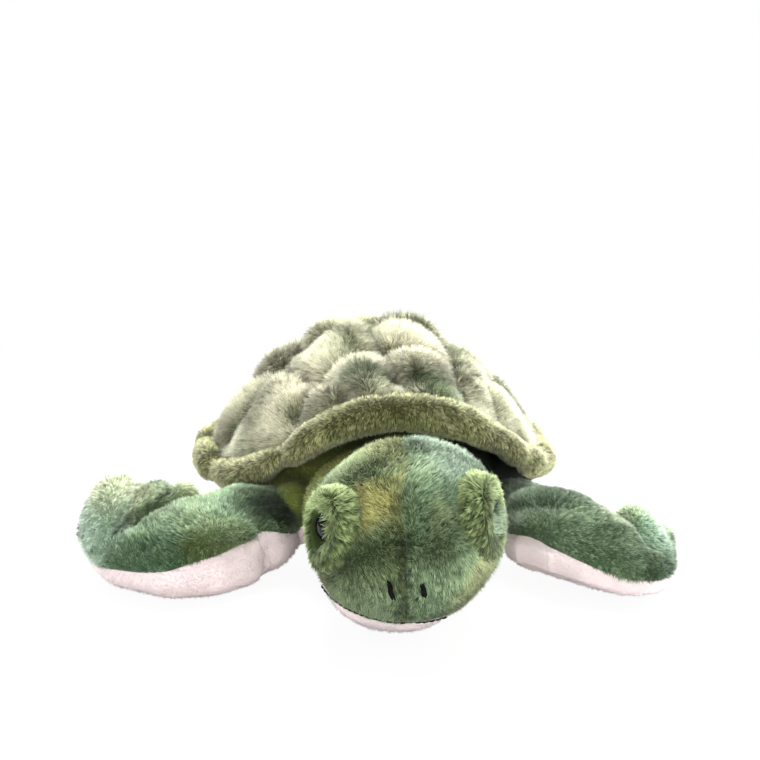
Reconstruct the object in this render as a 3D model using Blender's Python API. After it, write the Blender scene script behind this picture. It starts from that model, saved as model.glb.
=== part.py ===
# Plush sea turtle: a quilted shell with a stuffed rim, a sewn body, a turning neck,
# a nodding head with padded eye rings and safety eyes, four flippers and a tail.
# Metres, head towards -Y, +Z up, standing on its belly at Z = 0.

import math

import bmesh
import bpy
from mathutils import Matrix, Vector

# Cloth, seams and running clearances
PLUSH = 0.0022
SEAM_GAP = 0.0003
JOINT_GAP = 0.0003
MERGE_DISTANCE = 0.00001

# Shell: a quilted dome on a wall that the rim is sewn to
SHELL_HALF_WIDTH = 0.101
SHELL_HALF_LENGTH = 0.106
SHELL_CENTRE_Y = 0.043
SHELL_TOP = 0.127
SHELL_UNDERSIDE = 0.060
SHELL_WALL = 0.012
EDGE_HEIGHT = 0.042
EDGE_DIP = 0.006
EDGE_FRONT_HEIGHT = 0.0906
ARCH_ANGLES = {"left": math.radians(38), "right": math.radians(48)}
ARCH_POWER_SHARE = 2.15
CROWN_SHARE = 2.3
SHELL_RINGS = 14
QUILT_DEPTH = 0.0075
QUILT_SEAM_WIDTH = 0.0095
QUILT_RING_SHARE = 0.5
QUILT_FADE_SHARE = 0.25
OUTER_PUFFS = 10
INNER_PUFFS = 5
SHELL_SEGMENTS = 40

# Rim: a stuffed roll round the shell, gathered into lobes
RIM_RADIUS = 0.0110
RIM_SEAT_DEPTH = 0.0055
RIM_GATHER_DEPTH = 0.0028
RIM_GATHER_WIDTH = math.radians(6)
RIM_GATHERS = tuple(math.radians(a) for a in (36, 62, 86, 110, 134, 158))
RIM_OPENING_ANGLE = math.radians(50)

# Body under the shell
BODY_HALF_WIDTH = 0.074
BODY_OVERHANG = 0.003
BODY_HALF_LENGTH = SHELL_HALF_LENGTH + BODY_OVERHANG
BODY_CENTRE_Y = 0.034
BODY_FRONT_Y = BODY_CENTRE_Y - BODY_HALF_LENGTH
BODY_BACK_Y = BODY_CENTRE_Y + BODY_HALF_LENGTH
BODY_MIDDLE_HEIGHT = 0.026
BODY_RISE = 0.046
BODY_DROP = 0.036
BODY_SQUARENESS_SHARE = 0.80
BODY_FULLNESS_SHARE = 0.70

# Neck: turns about the vertical line through its centre
NECK_FORWARD = 0.002
NECK_HEIGHT = 0.0385
NECK_CENTRE = Vector((0, BODY_FRONT_Y - NECK_FORWARD, NECK_HEIGHT))
NECK_RADIUS = 0.050
NECK_REACH = 0.046
NECK_HALF_HEIGHT = 0.033
THROAT_SHARE = -math.sin(math.radians(36))

# Head: nods about the cross line through its centre
HEAD_FORWARD = 0.063
HEAD_HEIGHT = 0.0480
HEAD_CENTRE = Vector((0, NECK_CENTRE.y - HEAD_FORWARD, HEAD_HEIGHT))
HEAD_HALF_WIDTH = 0.0480
HEAD_HALF_HEIGHT = 0.0440
HEAD_SNOUT = 0.0540
SNOUT_NARROWING_SHARE = 0.13
SNOUT_DROP = 0.004
HEAD_PITCH = math.radians(8)
HEAD_ROLL = math.radians(-3.5)
HEAD_TURN = math.radians(-9)
MOUTH_LATITUDE = math.radians(-38.6)
MOUTH_SPAN = (math.radians(-78), math.radians(62))
SURFACE_STEP_SHARE = 0.01

# Eyes, their padded rings and their lock washers
EYE_LATITUDE = math.radians(22)
EYE_SPLAY = math.radians(10)
EYE_AZIMUTHS = {"left": math.radians(-60), "right": math.radians(74)}
EYE_RADIUS = 0.0072
EYE_BULGE = 0.0052
EYE_COLLAR = 0.0010
EYE_DOME_STEPS = 6
EYE_SEAT = 0.0012
EYE_SHANK_RADIUS = 0.0025
EYE_SHANK_LENGTH = 0.0120
WASHER_RADIUS = 0.0075
WASHER_THICKNESS = 0.0016
WASHER_TOP = -EYE_SEAT - PLUSH - 2 * SEAM_GAP
RING_UNIT_SHARE = 0.4
RING_HOLE_HALF_WIDTH = 0.0066
RING_HOLE_HALF_HEIGHT = 0.0080
RING_THICKNESS = 0.0068
RING_NOSE_SHARE = 0.28
RING_RISE = 0.0080
RING_SINK = 0.0010

# Embroidery
THREAD_RADIUS = 0.0007
NOSTRIL_THREAD_RADIUS = 0.0011
THREAD_LIFT = 0.0003
MOUTH_STITCHES = 22
NOSTRIL_AZIMUTH = math.radians(9.5)
NOSTRIL_LATITUDES = (math.radians(-8), math.radians(2))

# Front flippers, root to tip along a bent spine
FRONT_HINGE_OUT = 0.071
FRONT_HINGE_INSET = 0.019
FRONT_HINGE_HEIGHT = 0.0255
FRONT = {
    "hinge": Vector((FRONT_HINGE_OUT, BODY_FRONT_Y + FRONT_HINGE_INSET, FRONT_HINGE_HEIGHT)),
    "root_half_thickness": 0.0190,
    "root_half_chord": 0.0240,
    "length": 0.116,
    "leading_shares": (1.0, 1.14, 1.48, 1.60, 1.42, 1.05),
    "trailing_shares": (1.0, 0.94, 0.76, 0.62, 0.84, 1.00),
    "thickness_shares": (1.0, 1.02, 1.12, 0.98, 0.72, 0.56),
    "angles": tuple(math.radians(a) for a in (0, -38, -10, 46, 76, 96)),
    "lobe_depth": 0.0050,
    "lobes": 2,
    "segments": 12,
    "rings": 18,
}
FRONT_STANCES = {
    "left": {"sweep": math.radians(4), "tilt_share": 0.94, "bend_share": 1.0},
    "right": {"sweep": math.radians(-36), "tilt_share": 0.34, "bend_share": 1.06},
}

# Rear flippers
REAR_HINGE_OUT = 0.058
REAR_HINGE_INSET = 0.021
REAR_HINGE_HEIGHT = 0.0135
REAR = {
    "hinge": Vector((REAR_HINGE_OUT, BODY_BACK_Y - REAR_HINGE_INSET, REAR_HINGE_HEIGHT)),
    "root_half_thickness": 0.0125,
    "root_half_chord": 0.0180,
    "length": 0.074,
    "leading_shares": (1.0, 1.10, 1.22, 1.28, 1.15, 0.90),
    "trailing_shares": (1.0, 1.05, 1.15, 1.22, 1.12, 0.90),
    "thickness_shares": (1.0, 0.98, 0.88, 0.76, 0.64, 0.52),
    "angles": tuple(math.radians(a) for a in (0, 0, 6, 14, 24, 34)),
    "lobe_depth": 0.0035,
    "lobes": 2,
    "segments": 8,
    "rings": 10,
}
REAR_STANCES = {
    "left": {"sweep": math.radians(42), "tilt_share": 0.10, "bend_share": 1.0},
    "right": {"sweep": math.radians(42), "tilt_share": 0.10, "bend_share": 1.0},
}
LIMB_SQUARENESS_SHARE = 0.78
LIMB_ROOT_SHARE = 0.28
LOBE_START_SHARE = 0.34
TIP_START_SHARE = 0.80
TRAILING_THINNING_SHARE = 0.30
FLIPPER_SEAMS = (math.radians(-180), 0)
SPINE_STEPS = 24
FLOOR_GAP = 0.001
TILT_SETTLE_SHARE = 0.19

# Tail: wags about the vertical line through its root
TAIL_ROOT_OUT = 0.005
TAIL_ROOT_HEIGHT = 0.0140
TAIL_ROOT = Vector((0, BODY_BACK_Y + TAIL_ROOT_OUT, TAIL_ROOT_HEIGHT))
TAIL_RADIUS = 0.0120
TAIL_LENGTH = 0.034
TAIL_TAPER_SHARE = 0.35

COLOURS = {
    "shell_fur": (0.36, 0.36, 0.22),
    "rim_plush": (0.27, 0.27, 0.12),
    "tie_dye_plush": (0.10, 0.22, 0.13),
    "eye_ring_plush": (0.24, 0.38, 0.10),
    "pale_plush": (0.82, 0.74, 0.74),
    "stuffing": (0.85, 0.85, 0.83),
    "eye_plastic": (0.01, 0.01, 0.01),
    "washer_plastic": (0.75, 0.75, 0.72),
    "dark_thread": (0.02, 0.02, 0.02),
}
GLOSSY = {"eye_plastic": 0.08, "washer_plastic": 0.4}


def clear_scene():
    for thing in list(bpy.data.objects):
        bpy.data.objects.remove(thing, do_unlink=True)


def make_materials():
    made = {}
    for name, colour in COLOURS.items():
        material = bpy.data.materials.new(name)
        material.use_nodes = True
        shader = material.node_tree.nodes["Principled BSDF"]
        shader.inputs["Base Color"].default_value = (*colour, 1)
        shader.inputs["Roughness"].default_value = GLOSSY.get(name, 0.95)
        shader.inputs["Metallic"].default_value = 0
        made[name] = material
    return made


clear_scene()
MATERIALS = make_materials()
PARTS = bpy.data.collections.new("plush_turtle")
CUTTERS = bpy.data.collections.new("cutters")
bpy.context.scene.collection.children.link(PARTS)
bpy.context.scene.collection.children.link(CUTTERS)


# Objects

def add_object(name, mesh, material, parent):
    part = bpy.data.objects.new(name, mesh)
    mesh.materials.append(MATERIALS[material])
    mesh.shade_smooth()
    PARTS.objects.link(part)
    hang(part, parent)
    return part


def hang(part, parent):
    if parent:
        part.parent = parent
        part.matrix_parent_inverse = world_of(parent).inverted()


def world_of(empty):
    own = Matrix.LocRotScale(empty.location, empty.rotation_euler, None)
    if not empty.parent:
        return own
    return world_of(empty.parent) @ empty.matrix_parent_inverse @ own


def add_pivot(name, location, rotation=(0, 0, 0), parent=None):
    pivot = bpy.data.objects.new(name, None)
    pivot.location = location
    pivot.rotation_euler = rotation
    pivot.empty_display_size = SHELL_WALL
    PARTS.objects.link(pivot)
    hang(pivot, parent)
    return pivot


def mesh_from(bm, name):
    mesh = bpy.data.meshes.new(name)
    bm.to_mesh(mesh)
    return mesh


def add_cutter(name, bm):
    cutter = bpy.data.objects.new(name, mesh_from(bm, name))
    cutter.hide_render = True
    cutter.display_type = "WIRE"
    CUTTERS.objects.link(cutter)
    hang(cutter, ROOT)
    return cutter


def cut(part, *cutters):
    for cutter in cutters:
        modifier = part.modifiers.new("cut by " + cutter.name, "BOOLEAN")
        modifier.operation = "DIFFERENCE"
        modifier.solver = "EXACT"
        modifier.object = cutter


# Soft forms: a closed primitive whose points a formula moves into place.
# Each face remembers where it lay on the primitive, so a seam can follow its lines.

class SoftForm:
    def __init__(self, bm, shape, place=Matrix.Identity(4)):
        self.bm = bm
        bmesh.ops.triangulate(bm, faces=bm.faces)
        bm.faces.index_update()
        self.seats = {face.index: face.calc_center_median() for face in bm.faces}
        for vert in bm.verts:
            vert.co = place @ shape(vert.co.copy())
        bm.normal_update()
        if bm.calc_volume(signed=True) < 0:
            bmesh.ops.reverse_faces(bm, faces=bm.faces)
            bm.normal_update()

    # A sewn panel: the chosen faces, as thick as the cloth, drawn in a little at its seams
    def panel(self, name, chosen, material, parent):
        faces = [face for face in self.bm.faces if chosen(self.seats[face.index])]
        kept = set(faces)
        sewn = bmesh.new()
        outside = {}
        inside = {}
        for vert in {corner for face in faces for corner in face.verts}:
            inset = self.seam_inset(vert, kept)
            outside[vert] = sewn.verts.new(vert.co + inset)
            inside[vert] = sewn.verts.new(vert.co + inset - vert.normal * PLUSH)
        for face in faces:
            sewn.faces.new([outside[vert] for vert in face.verts])
            sewn.faces.new([inside[vert] for vert in reversed(face.verts)])
            for loop in face.loops:
                if all(other in kept for other in loop.edge.link_faces):
                    continue
                start, end = loop.vert, loop.link_loop_next.vert
                sewn.faces.new((outside[end], outside[start], inside[start], inside[end]))
        part = add_object(name, mesh_from(sewn, name), material, parent)
        sewn.free()
        return part

    def seam_inset(self, vert, kept):
        own = [face.calc_center_median() for face in vert.link_faces if face in kept]
        if len(own) == len(vert.link_faces):
            return Vector()
        inward = sum(own, Vector()) / len(own) - vert.co
        inward -= vert.normal * inward.dot(vert.normal)
        return inward.normalized() * SEAM_GAP

    # The same form drawn in (or let out, with a negative depth) along its normals
    def offset(self, depth):
        moved = self.bm.copy()
        moved.normal_update()
        for vert, place in [(vert, vert.co - vert.normal * depth) for vert in moved.verts]:
            vert.co = place
        return moved

    def filling(self, name, parent):
        inner = self.offset(PLUSH + SEAM_GAP)
        return add_object(name, mesh_from(inner, name), "stuffing", parent)

    def solid(self, name, material, parent):
        return add_object(name, mesh_from(self.bm, name), material, parent)

    def cutter(self, name, clearance=SEAM_GAP):
        return add_cutter(name, self.offset(-clearance))


def unit_sphere(segments, rings, poles="Z"):
    bm = bmesh.new()
    bmesh.ops.create_uvsphere(bm, u_segments=segments, v_segments=rings, radius=1)
    if poles == "X":
        bmesh.ops.rotate(bm, verts=bm.verts, matrix=Matrix.Rotation(math.pi / 2, 3, "Y"))
    if poles == "Y":
        bmesh.ops.rotate(bm, verts=bm.verts, matrix=Matrix.Rotation(math.pi / 2, 3, "X"))
    bm.faces.index_update()
    return bm


# A round socket cutter: an ellipsoid let out until even its flats clear the running gap
def socket(name, centre, half_sizes, axis, place=Matrix.Identity(4), segments=20, rings=8):
    bm = unit_sphere(segments, rings, poles=axis)
    flats = math.cos(math.pi / segments) * math.cos(math.pi / 2 / rings)
    grown = [(size + JOINT_GAP) / flats for size in half_sizes]
    bmesh.ops.scale(bm, vec=grown, verts=bm.verts)
    bmesh.ops.transform(bm, matrix=Matrix.Translation(centre) @ place, verts=bm.verts)
    return add_cutter(name, bm)


def read_table(shares, place):
    spot = min(max(place, 0), 1) * (len(shares) - 1)
    low = min(int(spot), len(shares) - 2)
    part = spot - low
    part = part * part * (3 - 2 * part)
    return shares[low] + (shares[low + 1] - shares[low]) * part


# Shell

# The edge arches over the neck, wider on the right, and dips beside the right flipper
def edge_height(bearing):
    spread = ARCH_ANGLES["left" if bearing < 0 else "right"]
    arch = math.exp(-(abs(bearing) / spread) ** ARCH_POWER_SHARE)
    base = EDGE_HEIGHT - EDGE_DIP * max(0, math.sin(bearing)) * math.cos(bearing / 2) ** 2
    return base + (EDGE_FRONT_HEIGHT - base) * arch


def bearing_of(x, y):
    return math.atan2(x, -y)


# How far the dome is drawn in at its seams: a ring seam, with spokes inside and outside it
def quilt_depth(out, bearing):
    step = 2 * math.pi / (OUTER_PUFFS if out > QUILT_RING_SHARE else INNER_PUFFS)
    spoke = abs((bearing / step + 0.5) % 1 - 0.5) * step * out * SHELL_HALF_WIDTH
    ring = abs(out - QUILT_RING_SHARE) * SHELL_HALF_WIDTH
    return QUILT_DEPTH * math.exp(-((min(spoke, ring) / QUILT_SEAM_WIDTH) ** 2))


def shell_point(unit):
    bearing = bearing_of(unit.x, unit.y)
    lean = math.acos(max(-1, min(1, unit.z)))
    top_ring = math.pi / 2 - math.pi / SHELL_RINGS
    out = min(1, min(lean, math.pi - lean) / top_ring)
    x = SHELL_HALF_WIDTH * out * math.sin(bearing)
    y = SHELL_CENTRE_Y - SHELL_HALF_LENGTH * out * math.cos(bearing)
    edge = edge_height(bearing)
    if lean < math.pi / 2 - math.pi / SHELL_RINGS / 2:
        lift = 1 - out ** CROWN_SHARE
        foot = edge + SHELL_WALL / 2
        fade = min(1, (1 - out) / QUILT_FADE_SHARE)
        z = foot + (SHELL_TOP - foot) * lift - quilt_depth(out, bearing) * fade
    elif lean > math.pi / 2 + math.pi / SHELL_RINGS / 2:
        z = SHELL_UNDERSIDE + (edge - SHELL_WALL / 2 - SHELL_UNDERSIDE) * out ** 2
    else:
        z = edge
    return Vector((x, y, z))


def make_shell(root):
    form = SoftForm(unit_sphere(SHELL_SEGMENTS, SHELL_RINGS), shell_point)
    form.panel("carapace_cover", lambda seat: seat.z > 0, "shell_fur", root)
    form.panel("carapace_lining", lambda seat: seat.z < 0, "rim_plush", root)
    form.filling("carapace_stuffing", root)
    return form


# Rim

def gather(bearing):
    nearest = min(abs(abs(bearing) - angle) for angle in RIM_GATHERS)
    return RIM_GATHER_DEPTH * math.exp(-((nearest / RIM_GATHER_WIDTH) ** 2))


def rim_point(unit):
    bearing = bearing_of(unit.x, unit.y)
    middle = math.hypot(unit.x, unit.y) - 1
    turn = math.atan2(unit.z, middle)
    radius = RIM_RADIUS - gather(bearing)
    out = max(SEAM_GAP, RIM_RADIUS - RIM_SEAT_DEPTH + radius * math.cos(turn))
    x = (SHELL_HALF_WIDTH + out) * math.sin(bearing)
    y = SHELL_CENTRE_Y - (SHELL_HALF_LENGTH + out) * math.cos(bearing)
    return Vector((x, y, edge_height(bearing) + radius * math.sin(turn)))


def unit_ring(major_segments, minor_segments, thickness_share=0.25):
    bpy.ops.mesh.primitive_torus_add(
        major_segments=major_segments, minor_segments=minor_segments,
        major_radius=1, minor_radius=thickness_share)
    ring = bpy.context.object
    bm = bmesh.new()
    bm.from_mesh(ring.data)
    bpy.data.objects.remove(ring, do_unlink=True)
    bm.faces.index_update()
    return bm


def faces_out(seat):
    inward = math.atan2(seat.z, math.hypot(seat.x, seat.y) - 1)
    return abs(inward) < math.pi - RIM_OPENING_ANGLE


def make_rim(root):
    form = SoftForm(unit_ring(SHELL_SEGMENTS, 8), rim_point)
    form.panel("rim_cover", faces_out, "rim_plush", root)
    form.filling("rim_stuffing", root)


# Body

def body_point(unit):
    lean = math.acos(max(-1, min(1, unit.z)))
    bearing = bearing_of(unit.x, unit.y)
    out = math.sin(lean) ** BODY_FULLNESS_SHARE
    across, along = math.sin(bearing), math.cos(bearing)
    x = BODY_HALF_WIDTH * out * math.copysign(abs(across) ** BODY_SQUARENESS_SHARE, across)
    y = -BODY_HALF_LENGTH * out * math.copysign(abs(along) ** BODY_SQUARENESS_SHARE, along)
    reach = BODY_RISE if unit.z > 0 else BODY_DROP
    z = BODY_MIDDLE_HEIGHT + reach * unit.z
    return Vector((x, BODY_CENTRE_Y + y, max(z, 0)))


def make_body(root, cutters):
    form = SoftForm(unit_sphere(28, 10), body_point)
    pieces = [
        form.panel("chest_cover", lambda seat: seat.z > 0, "tie_dye_plush", root),
        form.panel("belly_cover", lambda seat: seat.z < 0, "pale_plush", root),
        form.filling("body_stuffing", root),
    ]
    for piece in pieces:
        cut(piece, *cutters)


# Neck

def neck_point(unit):
    reach = NECK_RADIUS if unit.y > 0 else NECK_REACH
    own = Vector((NECK_RADIUS * unit.x, reach * unit.y, NECK_HALF_HEIGHT * unit.z))
    return NECK_CENTRE + own


def make_neck(pivot, cutters):
    form = SoftForm(unit_sphere(24, 10), neck_point)
    pieces = [
        form.panel("neck_cover", lambda seat: seat.z > THROAT_SHARE, "tie_dye_plush", pivot),
        form.panel("throat_panel", lambda seat: seat.z < THROAT_SHARE, "pale_plush", pivot),
        form.filling("neck_stuffing", pivot),
    ]
    for piece in pieces:
        cut(piece, *cutters)


# Head

def head_point(unit):
    front = max(0, -unit.y)
    width = HEAD_HALF_WIDTH * (1 - SNOUT_NARROWING_SHARE * front * front)
    reach = HEAD_SNOUT if unit.y < 0 else HEAD_HALF_HEIGHT
    drop = SNOUT_DROP * front * front
    return Vector((width * unit.x, reach * unit.y, HEAD_HALF_HEIGHT * unit.z - drop))


def head_place():
    turn = Matrix.Rotation(HEAD_TURN, 4, "Z")
    roll = Matrix.Rotation(HEAD_ROLL, 4, "Y")
    pitch = Matrix.Rotation(HEAD_PITCH, 4, "X")
    return Matrix.Translation(HEAD_CENTRE) @ turn @ roll @ pitch


def direction(azimuth, latitude):
    level = math.cos(latitude)
    return Vector((math.sin(azimuth) * level, -math.cos(azimuth) * level, math.sin(latitude)))


def head_surface(azimuth, latitude):
    step = SURFACE_STEP_SHARE
    here = head_point(direction(azimuth, latitude))
    along = head_point(direction(azimuth + step, latitude)) - here
    up = head_point(direction(azimuth, latitude + step)) - here
    return here, along.cross(up).normalized()


# A frame on the head's skin: Z out of the head, Y up along it
def eye_place(azimuth):
    here, out = head_surface(azimuth, EYE_LATITUDE)
    splay = Matrix.Rotation(math.copysign(EYE_SPLAY, azimuth), 3, "Z")
    out = splay @ out
    across = Vector((0, 0, 1)).cross(out).normalized()
    up = out.cross(across)
    turn = Matrix((across, up, out)).transposed().to_4x4()
    return head_place() @ Matrix.Translation(here) @ turn


def make_head(pivot, cutters):
    form = SoftForm(unit_sphere(24, 14), head_point, head_place())
    mouth = math.sin(MOUTH_LATITUDE)
    pieces = [
        form.panel("head_left_panel", lambda seat: seat.z > mouth and seat.x < 0, "tie_dye_plush", pivot),
        form.panel("head_right_panel", lambda seat: seat.z > mouth and seat.x > 0, "tie_dye_plush", pivot),
        form.panel("chin_panel", lambda seat: seat.z < mouth, "pale_plush", pivot),
        form.filling("head_stuffing", pivot),
    ]
    for piece in pieces:
        cut(piece, *cutters)
    return form


# Eyes: a domed eye on a shank that a lock washer holds behind the cloth

def turned(profile, segments=12):
    bm = bmesh.new()
    chain = [bm.verts.new((radius, 0, height)) for radius, height in profile]
    edges = [bm.edges.new(pair) for pair in zip(chain, chain[1:])]
    if profile[0][0] > 0:
        edges.append(bm.edges.new((chain[-1], chain[0])))
    bmesh.ops.spin(bm, geom=chain + edges, cent=(0, 0, 0), axis=(0, 0, 1),
                   angle=2 * math.pi, steps=segments, use_merge=True)
    bmesh.ops.remove_doubles(bm, verts=bm.verts, dist=MERGE_DISTANCE)
    bmesh.ops.recalc_face_normals(bm, faces=bm.faces)
    return bm


def dome_profile(radius, bulge):
    turns = [math.pi / 2 * step / EYE_DOME_STEPS for step in range(EYE_DOME_STEPS + 1)]
    dome = [(radius * math.sin(turn), EYE_COLLAR + bulge * math.cos(turn)) for turn in turns]
    dome[0] = (0, dome[0][1])
    return dome


def eye_profile():
    return dome_profile(EYE_RADIUS, EYE_BULGE) + [
        (EYE_RADIUS, 0), (EYE_SHANK_RADIUS, 0),
        (EYE_SHANK_RADIUS, -EYE_SHANK_LENGTH), (0, -EYE_SHANK_LENGTH)]


def washer_profile():
    bore = EYE_SHANK_RADIUS + SEAM_GAP
    return [(bore, WASHER_TOP), (WASHER_RADIUS, WASHER_TOP),
            (WASHER_RADIUS, WASHER_TOP - WASHER_THICKNESS), (bore, WASHER_TOP - WASHER_THICKNESS)]


# The room that cloth and stuffing leave round the eye, its shank and its washer
def room_profile():
    gap = SEAM_GAP
    shank = EYE_SHANK_RADIUS + gap
    above = WASHER_TOP + gap
    below = WASHER_TOP - WASHER_THICKNESS - gap
    return dome_profile(EYE_RADIUS + gap, EYE_BULGE + gap) + [
        (EYE_RADIUS + gap, -gap), (shank, -gap), (shank, above), (WASHER_RADIUS + gap, above),
        (WASHER_RADIUS + gap, below), (shank, below),
        (shank, -EYE_SHANK_LENGTH - gap), (0, -EYE_SHANK_LENGTH - gap)]


def make_eye(side, head_pivot):
    place = eye_place(EYE_AZIMUTHS[side]) @ Matrix.Translation((0, 0, EYE_SEAT))

    def placed(profile):
        bm = turned(profile)
        bmesh.ops.transform(bm, matrix=place, verts=bm.verts)
        return bm

    add_object(f"{side}_eye", mesh_from(placed(eye_profile()), "eye"), "eye_plastic", head_pivot)
    add_object(f"{side}_eye_washer", mesh_from(placed(washer_profile()), "washer"),
               "washer_plastic", head_pivot)
    return add_cutter(f"{side}_eye_room", placed(room_profile()))


def make_eye_ring(side, head_pivot, head_cutter, eye_cutter):
    place = eye_place(EYE_AZIMUTHS[side]) @ Matrix.Translation((0, 0, -RING_SINK))

    nose = 1 if side == "left" else -1

    def ring_point(unit):
        bearing = math.atan2(unit.y, unit.x)
        middle = (math.hypot(unit.x, unit.y) - 1) / RING_UNIT_SHARE
        swell = RING_THICKNESS * (1 + RING_NOSE_SHARE * nose * math.cos(bearing))
        hole = Vector((RING_HOLE_HALF_WIDTH * math.cos(bearing),
                       RING_HOLE_HALF_HEIGHT * math.sin(bearing), 0))
        out = hole + hole.normalized() * swell * (1 + middle)
        return Vector((out.x, out.y, unit.z / RING_UNIT_SHARE * RING_RISE))

    form = SoftForm(unit_ring(18, 6, RING_UNIT_SHARE), ring_point, place)
    ring = form.solid(f"{side}_eye_surround", "eye_ring_plush", head_pivot)
    cut(ring, head_cutter, eye_cutter)


# Embroidery: threads laid on the head's skin

def make_thread(name, route, radius, parent):
    curve = bpy.data.curves.new(name, "CURVE")
    curve.dimensions = "3D"
    curve.bevel_depth = radius
    curve.bevel_resolution = 1
    curve.use_fill_caps = True
    line = curve.splines.new("POLY")
    line.points.add(len(route) - 1)
    for point, (azimuth, latitude) in zip(line.points, route):
        here, out = head_surface(azimuth, latitude)
        lift = radius + THREAD_LIFT
        point.co = (*(head_place() @ (here + out * lift)), 1)
    thread = bpy.data.objects.new(name, curve)
    curve.materials.append(MATERIALS["dark_thread"])
    PARTS.objects.link(thread)
    hang(thread, parent)


def make_embroidery(head_pivot):
    low, high = NOSTRIL_LATITUDES
    for side, sign in (("left", -1), ("right", 1)):
        route = [(sign * NOSTRIL_AZIMUTH, low + (high - low) * step / 2) for step in range(3)]
        make_thread(f"{side}_nostril_stitch", route, NOSTRIL_THREAD_RADIUS, head_pivot)
    start, end = MOUTH_SPAN
    steps = range(MOUTH_STITCHES + 1)
    route = [(start + (end - start) * step / MOUTH_STITCHES, MOUTH_LATITUDE) for step in steps]
    make_thread("mouth_stitch", route, THREAD_RADIUS, head_pivot)


# Flippers: the root is round about its hinge line, the rest bends along a spine

def spine_at(limb, bend, run):
    place = Vector((0, 0))
    for step in range(SPINE_STEPS):
        angle = spine_angle(limb, bend, run * (2 * step + 1) / (2 * SPINE_STEPS))
        place += Vector((math.cos(angle), math.sin(angle))) * run / SPINE_STEPS
    return place


def spine_angle(limb, bend, run):
    return bend * read_table(limb["angles"], run / limb["length"])


def squared(value, grown):
    power = 1 - (1 - LIMB_SQUARENESS_SHARE) * grown
    return math.copysign(abs(value) ** power, value)


def flipper_point(limb, tilt, bend, unit):
    across = math.hypot(unit.y, unit.z)
    side = unit.y / across if across else 0
    up = unit.z / across if across else 0
    chord = limb["root_half_chord"]
    half = limb["root_half_thickness"]
    if unit.x <= 0:
        return Vector((half * unit.x, chord * across * side, half * across * up))
    share = math.asin(min(1, unit.x)) / (math.pi / 2)
    run = limb["length"] * share
    grown = min(1, share / LIMB_ROOT_SHARE)
    side = squared(side, grown)
    up = squared(up, grown)
    tip = math.sqrt(max(0, 1 - max(0, (share - TIP_START_SHARE) / (1 - TIP_START_SHARE)) ** 2))
    edge_shares = limb["trailing_shares" if side > 0 else "leading_shares"]
    chord *= read_table(edge_shares, share) * tip
    half *= read_table(limb["thickness_shares"], share) * tip
    if side > 0:
        lobe_run = max(0, share - LOBE_START_SHARE) / (1 - LOBE_START_SHARE)
        waves = abs(math.sin(math.pi * limb["lobes"] * lobe_run))
        chord -= limb["lobe_depth"] * (1 - waves) * tip * side * grown
    angle = spine_angle(limb, bend, run) * grown
    middle = spine_at(limb, bend, run)
    reach = chord * side
    x = middle.x - math.sin(angle) * reach
    y = middle.y + math.cos(angle) * reach
    fullness = 1 - TRAILING_THINNING_SHARE * max(0, side) ** 2 * grown
    lift = tilt * grown * (y + math.hypot(y, limb["root_half_thickness"])) / 2
    settle = TILT_SETTLE_SHARE * tilt * limb["root_half_thickness"]
    sag = (limb["hinge"].z - FLOOR_GAP - half + settle) * grown
    return Vector((x, y, half * up * fullness + lift - sag))


def make_flipper(name, limb, side, stance, root):
    sign = -1 if side == "left" else 1
    sweep, tilt, bend = stance["sweep"], stance["tilt_share"], stance["bend_share"]
    centre = Vector((sign * limb["hinge"].x, limb["hinge"].y, limb["hinge"].z))
    turn = Matrix.Rotation(sign * sweep, 4, "Z")
    mirror = Matrix.Diagonal((sign, 1, 1, 1))
    place = Matrix.Translation(centre) @ turn @ mirror
    pivot = add_pivot(f"{side}_{name}_pivot", centre, (0, 0, sign * sweep), root)
    bm = unit_sphere(limb["segments"], limb["rings"], poles="X")
    form = SoftForm(bm, lambda unit: flipper_point(limb, tilt, bend, unit), place)

    def below(seat):
        angle = math.atan2(seat.z, seat.y)
        return FLIPPER_SEAMS[0] < angle < FLIPPER_SEAMS[1]

    form.panel(f"{side}_{name}_upper_cover", lambda seat: not below(seat), "tie_dye_plush", pivot)
    form.panel(f"{side}_{name}_lower_cover", below, "pale_plush", pivot)
    form.filling(f"{side}_{name}_stuffing", pivot)
    sizes = (limb["root_half_thickness"], limb["root_half_chord"], limb["root_half_thickness"])
    return socket(f"{side}_{name}_socket", centre, sizes, "Y", turn)


# Tail

def tail_point(unit):
    reach = TAIL_RADIUS
    flare = 1
    if unit.y > 0:
        reach = TAIL_LENGTH
        flare = 1 - TAIL_TAPER_SHARE * unit.y
    return TAIL_ROOT + Vector((TAIL_RADIUS * unit.x * flare, reach * unit.y, TAIL_RADIUS * unit.z * flare))


def make_tail(pivot):
    form = SoftForm(unit_sphere(14, 10, poles="Y"), tail_point)
    form.solid("tail", "tie_dye_plush", pivot)
    return socket("tail_socket", TAIL_ROOT, (TAIL_RADIUS,) * 3, "Z")


# The origin goes under the middle of the whole toy
def centre_on_floor(root):
    depsgraph = bpy.context.evaluated_depsgraph_get()
    points = []
    for part in PARTS.objects:
        if part.type != "EMPTY":
            shown = part.evaluated_get(depsgraph)
            points += [shown.matrix_world @ vert.co for vert in shown.to_mesh().vertices]
            shown.to_mesh_clear()
    low = Vector([min(point[axis] for point in points) for axis in range(3)])
    high = Vector([max(point[axis] for point in points) for axis in range(3)])
    root.location = Vector((-(low.x + high.x) / 2, -(low.y + high.y) / 2, -low.z))


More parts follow.
